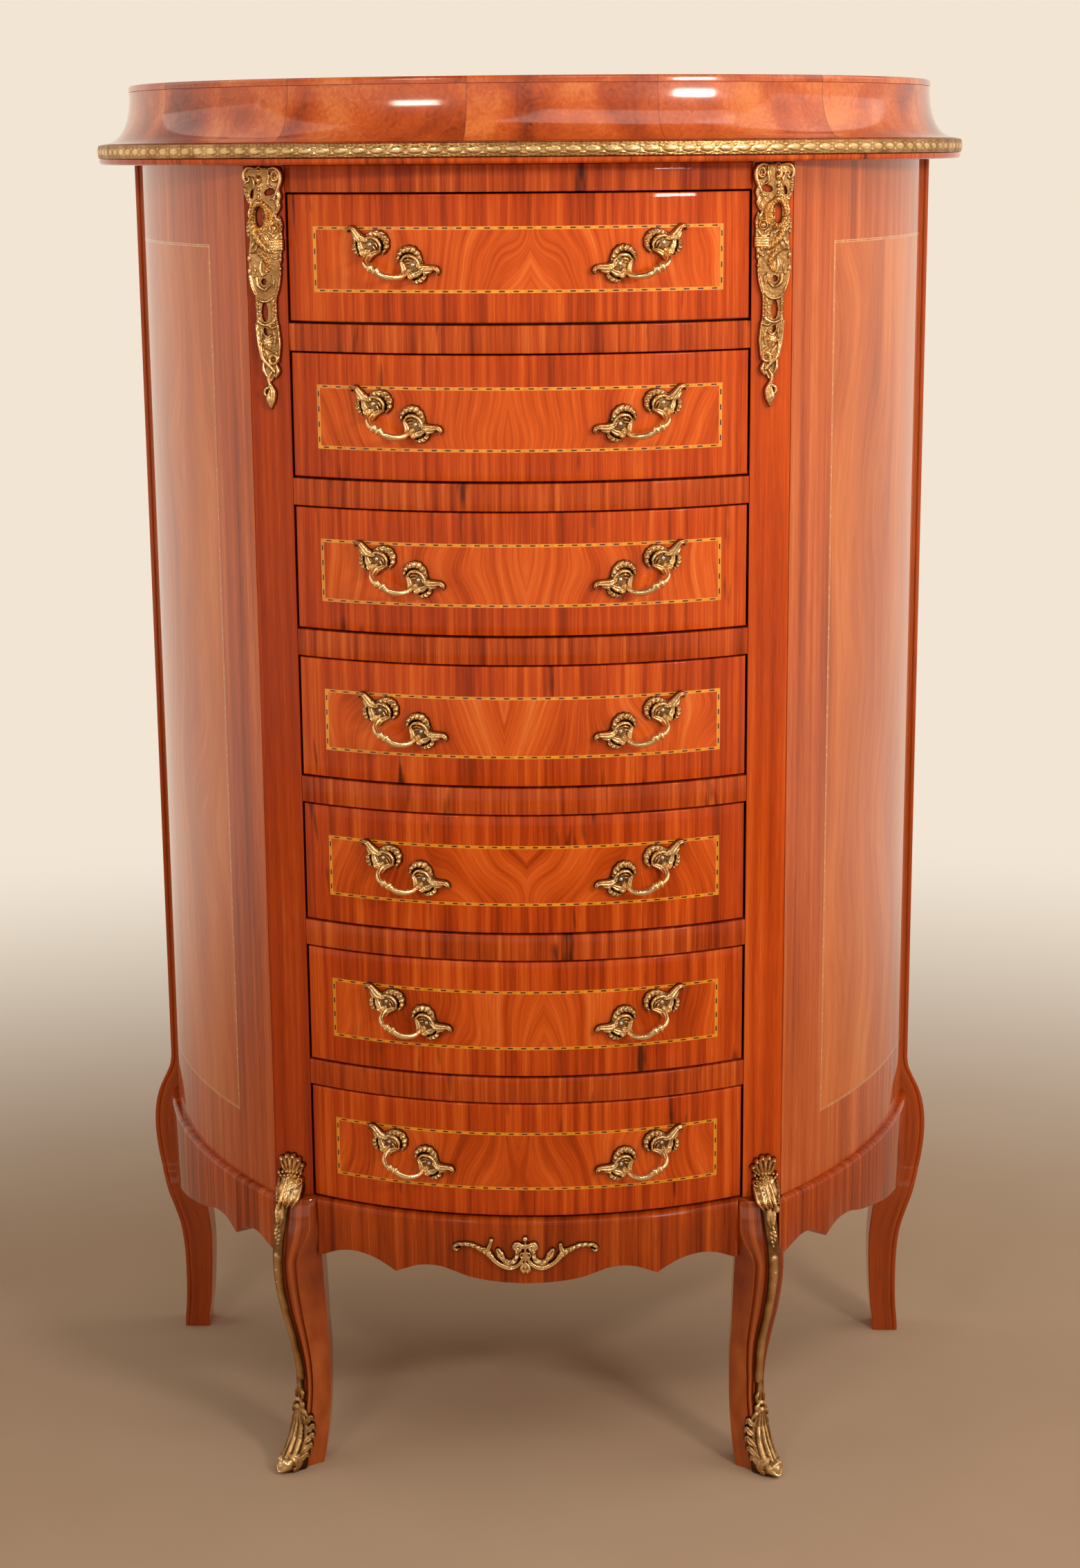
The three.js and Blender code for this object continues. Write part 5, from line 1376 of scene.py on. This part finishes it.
draw(shoe, [
    ([(4, 17), (8.6, 13), (10.4, 7), (8, 2.4)], (1.2, 2.6, 2.6, 1.5), 4.4, 0, 0, 0.3),
    ([(0.6, 72), (3.8, 68), (4.6, 62)], (1, 1.9, 0.9), 3.2),
    ([(0.4, 62), (4.2, 58), (5.6, 52)], (1.2, 2.3, 1), 3.4),
    ([(1.4, 54), (6.2, 51), (9.6, 46)], (1.4, 2.5, 1.3), 3.2),
], hands=(-1, 1))
sabot = [casting(shoe, round_foot, thickness=1.3)]
pair("shoe", "sabot", sabot, sabot, [brass], sharp=CAST_SHARP)
print("sabots made")

# %% [markdown]
# ## Pulls
# Each pull is cast in one piece: two plates, each a scalloped shell round its screw with a leaf that curls away
# at its outer end, and a bail that hangs between them with a collar of beads. The plates are reliefs, and the
# bail is a tube carried along a curve, whose radius swells at the collar. One pull is worked out for each hand
# and placed seven times. The screw heads are rubbed bare, so they look paler than the brass.

# %% Plate and screw
PULL_SCREW = 20.5
PULL_PLACE = HALF_OPENING * 0.5255
PULL_TILT = math.radians(24)
PULL_RISE = 4.0
PLATE_THICKNESS = 1.4
SCREW_LIFT, SCREW_THICKNESS = 2.4, 0.4

plate = relief_field((-18, -18), (28, 16), 0.5)
draw(plate, [
    ([(-13.4, -2.4), (-14.2, 3), (-11.4, 8.4), (-5.8, 11.2), (0.4, 9.8), (5, 6.2)],
     (1.5, 2.8, 3.6, 3.7, 3, 1.6), 4.4, 7, 0.5),
    ([(-10.4, -1), (-8.8, 3.4), (-3.6, 6.2), (1.8, 5.4), (5.6, 2.6)], (1, 1.6, 1.8, 1.6, 1), 4.8),
    ([(-7.8, 0.2), (-5, 2.6), (-1.4, 3.2)], (0.8, 1.2, 0.8), 3.7),
    ([(-6.8, -2.2), (-4, -0.2)], (0.8, 1.2), 3.7),
    ([(2.2, 2.6), (4.4, 0.6)], (0.8, 1.2), 3.7),
    ([(-10.8, -1.4), (-7.4, -4.2), (-4.6, -8), (-3.8, -11.6)], (1.4, 2.6, 3, 2.8), 4.4, 0, 0, 0.3),
    ([(-1.2, -5.4), (2.6, -7.6), (6, -5.8), (8.6, -2.4)], (1.8, 3.2, 3.3, 2.3), 4.3, 0, 0, 0.3),
    ([(4.6, 1.6), (9.6, 1.4), (14.6, 3.6), (19.4, 5.6), (22.4, 4.2), (22.4, 1.8)],
     (2.4, 3.8, 3.3, 2.7, 2.2, 1.3), 4.9, 0, 0, 0.35),
    ([(9.2, -1.2), (13, -0.6), (16.8, 1.4)], (1.6, 2.4, 1.2), 4, 0, 0, 0.2),
    ([(12.4, -1.6), (12.8, -5.8), (10.4, -9.8), (6, -12.4)], (1.7, 2.7, 2.7, 1.5), 4, 4, 0.5),
], [(-0.6, 0.2, 10.6, 8.8, 1.5)], [(2.4, -8.6, 2.3, 2.2, 1.1, 4.8)])
screw_head = relief_field((-2.6, -2.6), (2.6, 2.6), 0.4)
draw(screw_head, bosses=[(0, 0, 1.9, 1.9, 1.5)])
screw_metal = cast_brass("worn_screw_head", "#a8a094", "#c9c2b6", "#eeeae2", roughness=0.32)
print("plate and screw drawn")


# %% Bail
def tube(path, radii, sides=12):
    """Rings round a path, each square to it; the ring's first direction is carried on from the one before."""
    tangent = np.gradient(path, axis=0)
    tangent /= np.linalg.norm(tangent, axis=1, keepdims=True)
    side = np.empty_like(path)
    start = np.cross(tangent[0], (0.3, 1.0, 0.1))
    for k in range(len(path)):
        start = start - tangent[k] * (start @ tangent[k])
        start = start / np.linalg.norm(start)
        side[k] = start
    around = np.linspace(0, 2 * math.pi, sides, endpoint=False)[:, None]
    round_about = np.cos(around) * side[:, None] + np.sin(around) * np.cross(tangent, side)[:, None]
    return path[:, None] + radii[:, None, None] * round_about


BAIL = [
    (-17.4, 2, -7.4, 2.9), (-18, 7, -10.6, 2.5), (-16.6, 12, -13.6, 2.3), (-12.6, 15.6, -15.4, 2.3),
    (-9.6, 17, -15.6, 2.3), (-8.4, 17.4, -15.5, 3.8), (-6.8, 17.7, -15.4, 4), (-5.2, 17.9, -15.3, 2.4),
    (-3.6, 18, -15.3, 3.8), (-1.8, 18.1, -15.5, 4), (0.2, 18.2, -15.9, 2.8), (6, 17.6, -16.2, 3),
    (12, 15.4, -14.8, 2.8), (16.6, 11.4, -12.2, 2.5), (17.8, 6.6, -9.6, 2.4), (17.4, 2, -7.4, 2.8),
]
bail_rows = smooth(np.column_stack([np.linspace(0, 1, len(BAIL)), BAIL]), np.linspace(0, 1, 76))
bail_rings = tube(bail_rows[:, :3] * (1, -1, 1), bail_rows[:, 3])


# %% Pulls
def flat(hand, screw_x, lift, x, y, height):
    """A plate's point in the pull's own frame, across, out and up, before the pull is tilted and hung."""
    return join(hand * x + screw_x, -(height + lift), y)


def pull():
    """Both plates, their screws and the bail of the left pull, whose outer, higher plate is at -x."""
    plates = [casting(plate, partial(flat, hand, hand * PULL_SCREW, 0.0), PLATE_THICKNESS) for hand in (-1, 1)]
    screws = [casting(screw_head, partial(flat, 1, hand * PULL_SCREW, SCREW_LIFT), SCREW_THICKNESS)
              for hand in (-1, 1)]
    patches = plates + [{**screw, "slots": screw["slots"] + 1} for screw in screws]
    sides = bail_rings.shape[1]
    swell = np.repeat(np.clip(bail_rows[:, 3] / 3.2, 0, 1) ** 0.5, sides + 1)
    bail = loft(bail_rings, np.zeros((*bail_rings.shape[:2], 2)))
    for patch, relief in zip(bail, (swell, np.full(sides, 0.8), np.full(sides, 0.8))):
        patches.append({**patch, "relief": relief})
    return patches


def hang(patches, side, base):
    """Tilts a pull by 24 degrees, turns it to the bow at its place, and moves it to its drawer."""
    x = side * PULL_PLACE
    lean, tilt = math.asin(x / BOW_RADIUS), -side * PULL_TILT
    tilted = np.array([[math.cos(tilt), 0, math.sin(tilt)], [0, 1, 0], [-math.sin(tilt), 0, math.cos(tilt)]])
    turned = np.array([[math.cos(lean), -math.sin(lean), 0], [math.sin(lean), math.cos(lean), 0], [0, 0, 1]])
    height = base + OPENING_HEIGHT / 2 + PULL_RISE
    seat = (x + JOINT * math.sin(lean), bow_y(x) - JOINT * math.cos(lean), height)
    return [{**patch, "points": patch["points"] @ (turned @ tilted).T + seat} for patch in patches]


left_pull = pull()
for number in range(1, DRAWERS + 1):
    for word, side, master in (("left", -1, left_pull), ("right", 1, mirrored(left_pull))):
        piece(f"drawer_{number}_handle_{word}", hang(master, side, drawer_base(number)), [brass, screw_metal],
              f"drawer_{number}", f"drawer_{number}_pull_{word}", CAST_SHARP)
print("pulls made")

# %% [markdown]
# ## CAD pieces that stay
# The drawer boxes, the bottom board and the back are plain joinery, and their CAD shape is right. They get a
# planed softwood through their material slots.

# %% Materials for the CAD nodes
for node_name, cad_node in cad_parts.items():
    chosen = brass if any(word in node_name for word in ("pull", "mount", "sabot")) else lining
    if not cad_node.hide_render:
        for material_slot in cad_node.material_slots:
            material_slot.material = chosen

# %% [markdown]
# ## Floor and light
# The chest stands on a plain pale floor, which fades with its distance into a pale horizon all round. Higher up
# the room gets dim, so that the brass has something dark to mirror between its highlights. The pale part
# reaches higher behind the chest, which fills the picture's background. Two small lamps in front are mirrored
# by the cove as two bright patches. The softer lamps hang high, where the upright polished faces don't mirror
# them towards a camera.

# %% Floor
PALE = "#f3e5d3"
FLOOR_HALF = 9.0

floor_paint, node = new_material("pale_floor")
place = node("TexCoord", output="Object")
mottle = node("TexNoise", {"Vector": place, "Scale": 6.0, "Detail": 3.0})
tone = node("Mix", {0: mottle, 6: linear("#bfa48b"), 7: linear("#c8ae94")}, data_type="RGBA")
back_to_front = node("Mapping", {"Vector": place, "Location": (0.0, 1.0, 0.0)})
away = node("VectorMath", (back_to_front,), "Value", operation="LENGTH")
far = node("MapRange", {"Value": away, "From Min": 1.4, "From Max": 3.3}, interpolation_type="SMOOTHSTEP")
near_tone = node("Mix", {0: far, 6: tone, 7: (0.0, 0.0, 0.0, 1.0)}, data_type="RGBA")
shader = node("BsdfPrincipled", {
    "Base Color": near_tone, "Roughness": 0.9, "Specular IOR Level": 0.0,
    "Emission Color": linear(PALE), "Emission Strength": far,
})
node("OutputMaterial", {"Surface": shader})

floor_mesh = bpy.data.meshes.new("floor")
corners = [(x * FLOOR_HALF, y * FLOOR_HALF, 0) for x, y in ((-1, -1), (1, -1), (1, 1), (-1, 1))]
floor_mesh.from_pydata(corners, [], [(0, 1, 2, 3)])
floor_mesh.materials.append(floor_paint)
floor = bpy.data.objects.new("floor", floor_mesh)
bpy.context.scene.collection.objects.link(floor)

# %% World
world = bpy.data.worlds.new("pale_room")
bpy.context.scene.world = world
world.use_nodes = True
world.node_tree.nodes.clear()
node = partial(add, world.node_tree)
direction = node("TexCoord", output="Generated")
height = node("SeparateXYZ", (direction,), "Z")
behind = node("SeparateXYZ", (direction,), "Y")
glow_top = node("MapRange", {"Value": behind, "From Min": 0.2, "From Max": 0.8, "To Min": 0.4, "To Max": 0.9},
                interpolation_type="SMOOTHSTEP")
dim = node("MapRange", {"Value": height, "From Min": 0.04, "From Max": glow_top, "To Min": 1.0, "To Max": 0.14},
           interpolation_type="SMOOTHSTEP")
node("OutputWorld", {"Surface": node("Background", {"Color": linear(PALE), "Strength": dim})})


# %% Lamps
def area_lamp(name, at, towards, size, power):
    """A soft rectangular lamp at a place, turned so that it shines along -Z towards another."""
    data = bpy.data.lights.new(name, "AREA")
    data.shape = "RECTANGLE"
    data.size, data.size_y = size
    data.energy = power
    data.color = linear("#fff6ea")[:3]
    back = np.subtract(at, towards)
    back /= np.linalg.norm(back)
    side = np.cross((0, 0, 1), back)
    side /= np.linalg.norm(side)
    stand(bpy.data.objects.new(name, data), side, np.cross(back, side), back, at)


area_lamp("lamp_left", (-0.85, -1.95, 1.84), (-0.08, -0.16, 2.2), (0.42, 0.22), 9)
area_lamp("lamp_right", (1.40, -1.66, 1.55), (0.15, -0.14, 2.2), (0.42, 0.22), 20)
area_lamp("soft_box_left", (-2.2, 0.2, 2.7), (0, 0, 0.9), (2.6, 2.2), 18)
area_lamp("soft_box_right", (2.2, 0.0, 2.5), (0, 0, 0.8), (2.6, 2.2), 26)
area_lamp("lamp_above", (0.75, -1.35, 2.5), (0.1, -0.1, 1.0), (1.8, 0.9), 11)
print("lamps made")

# %% [markdown]
# ## Finish
# The view transform is Standard, so a colour renders about as it is written.

# %% View transform
bpy.context.scene.view_settings.view_transform = "Standard"
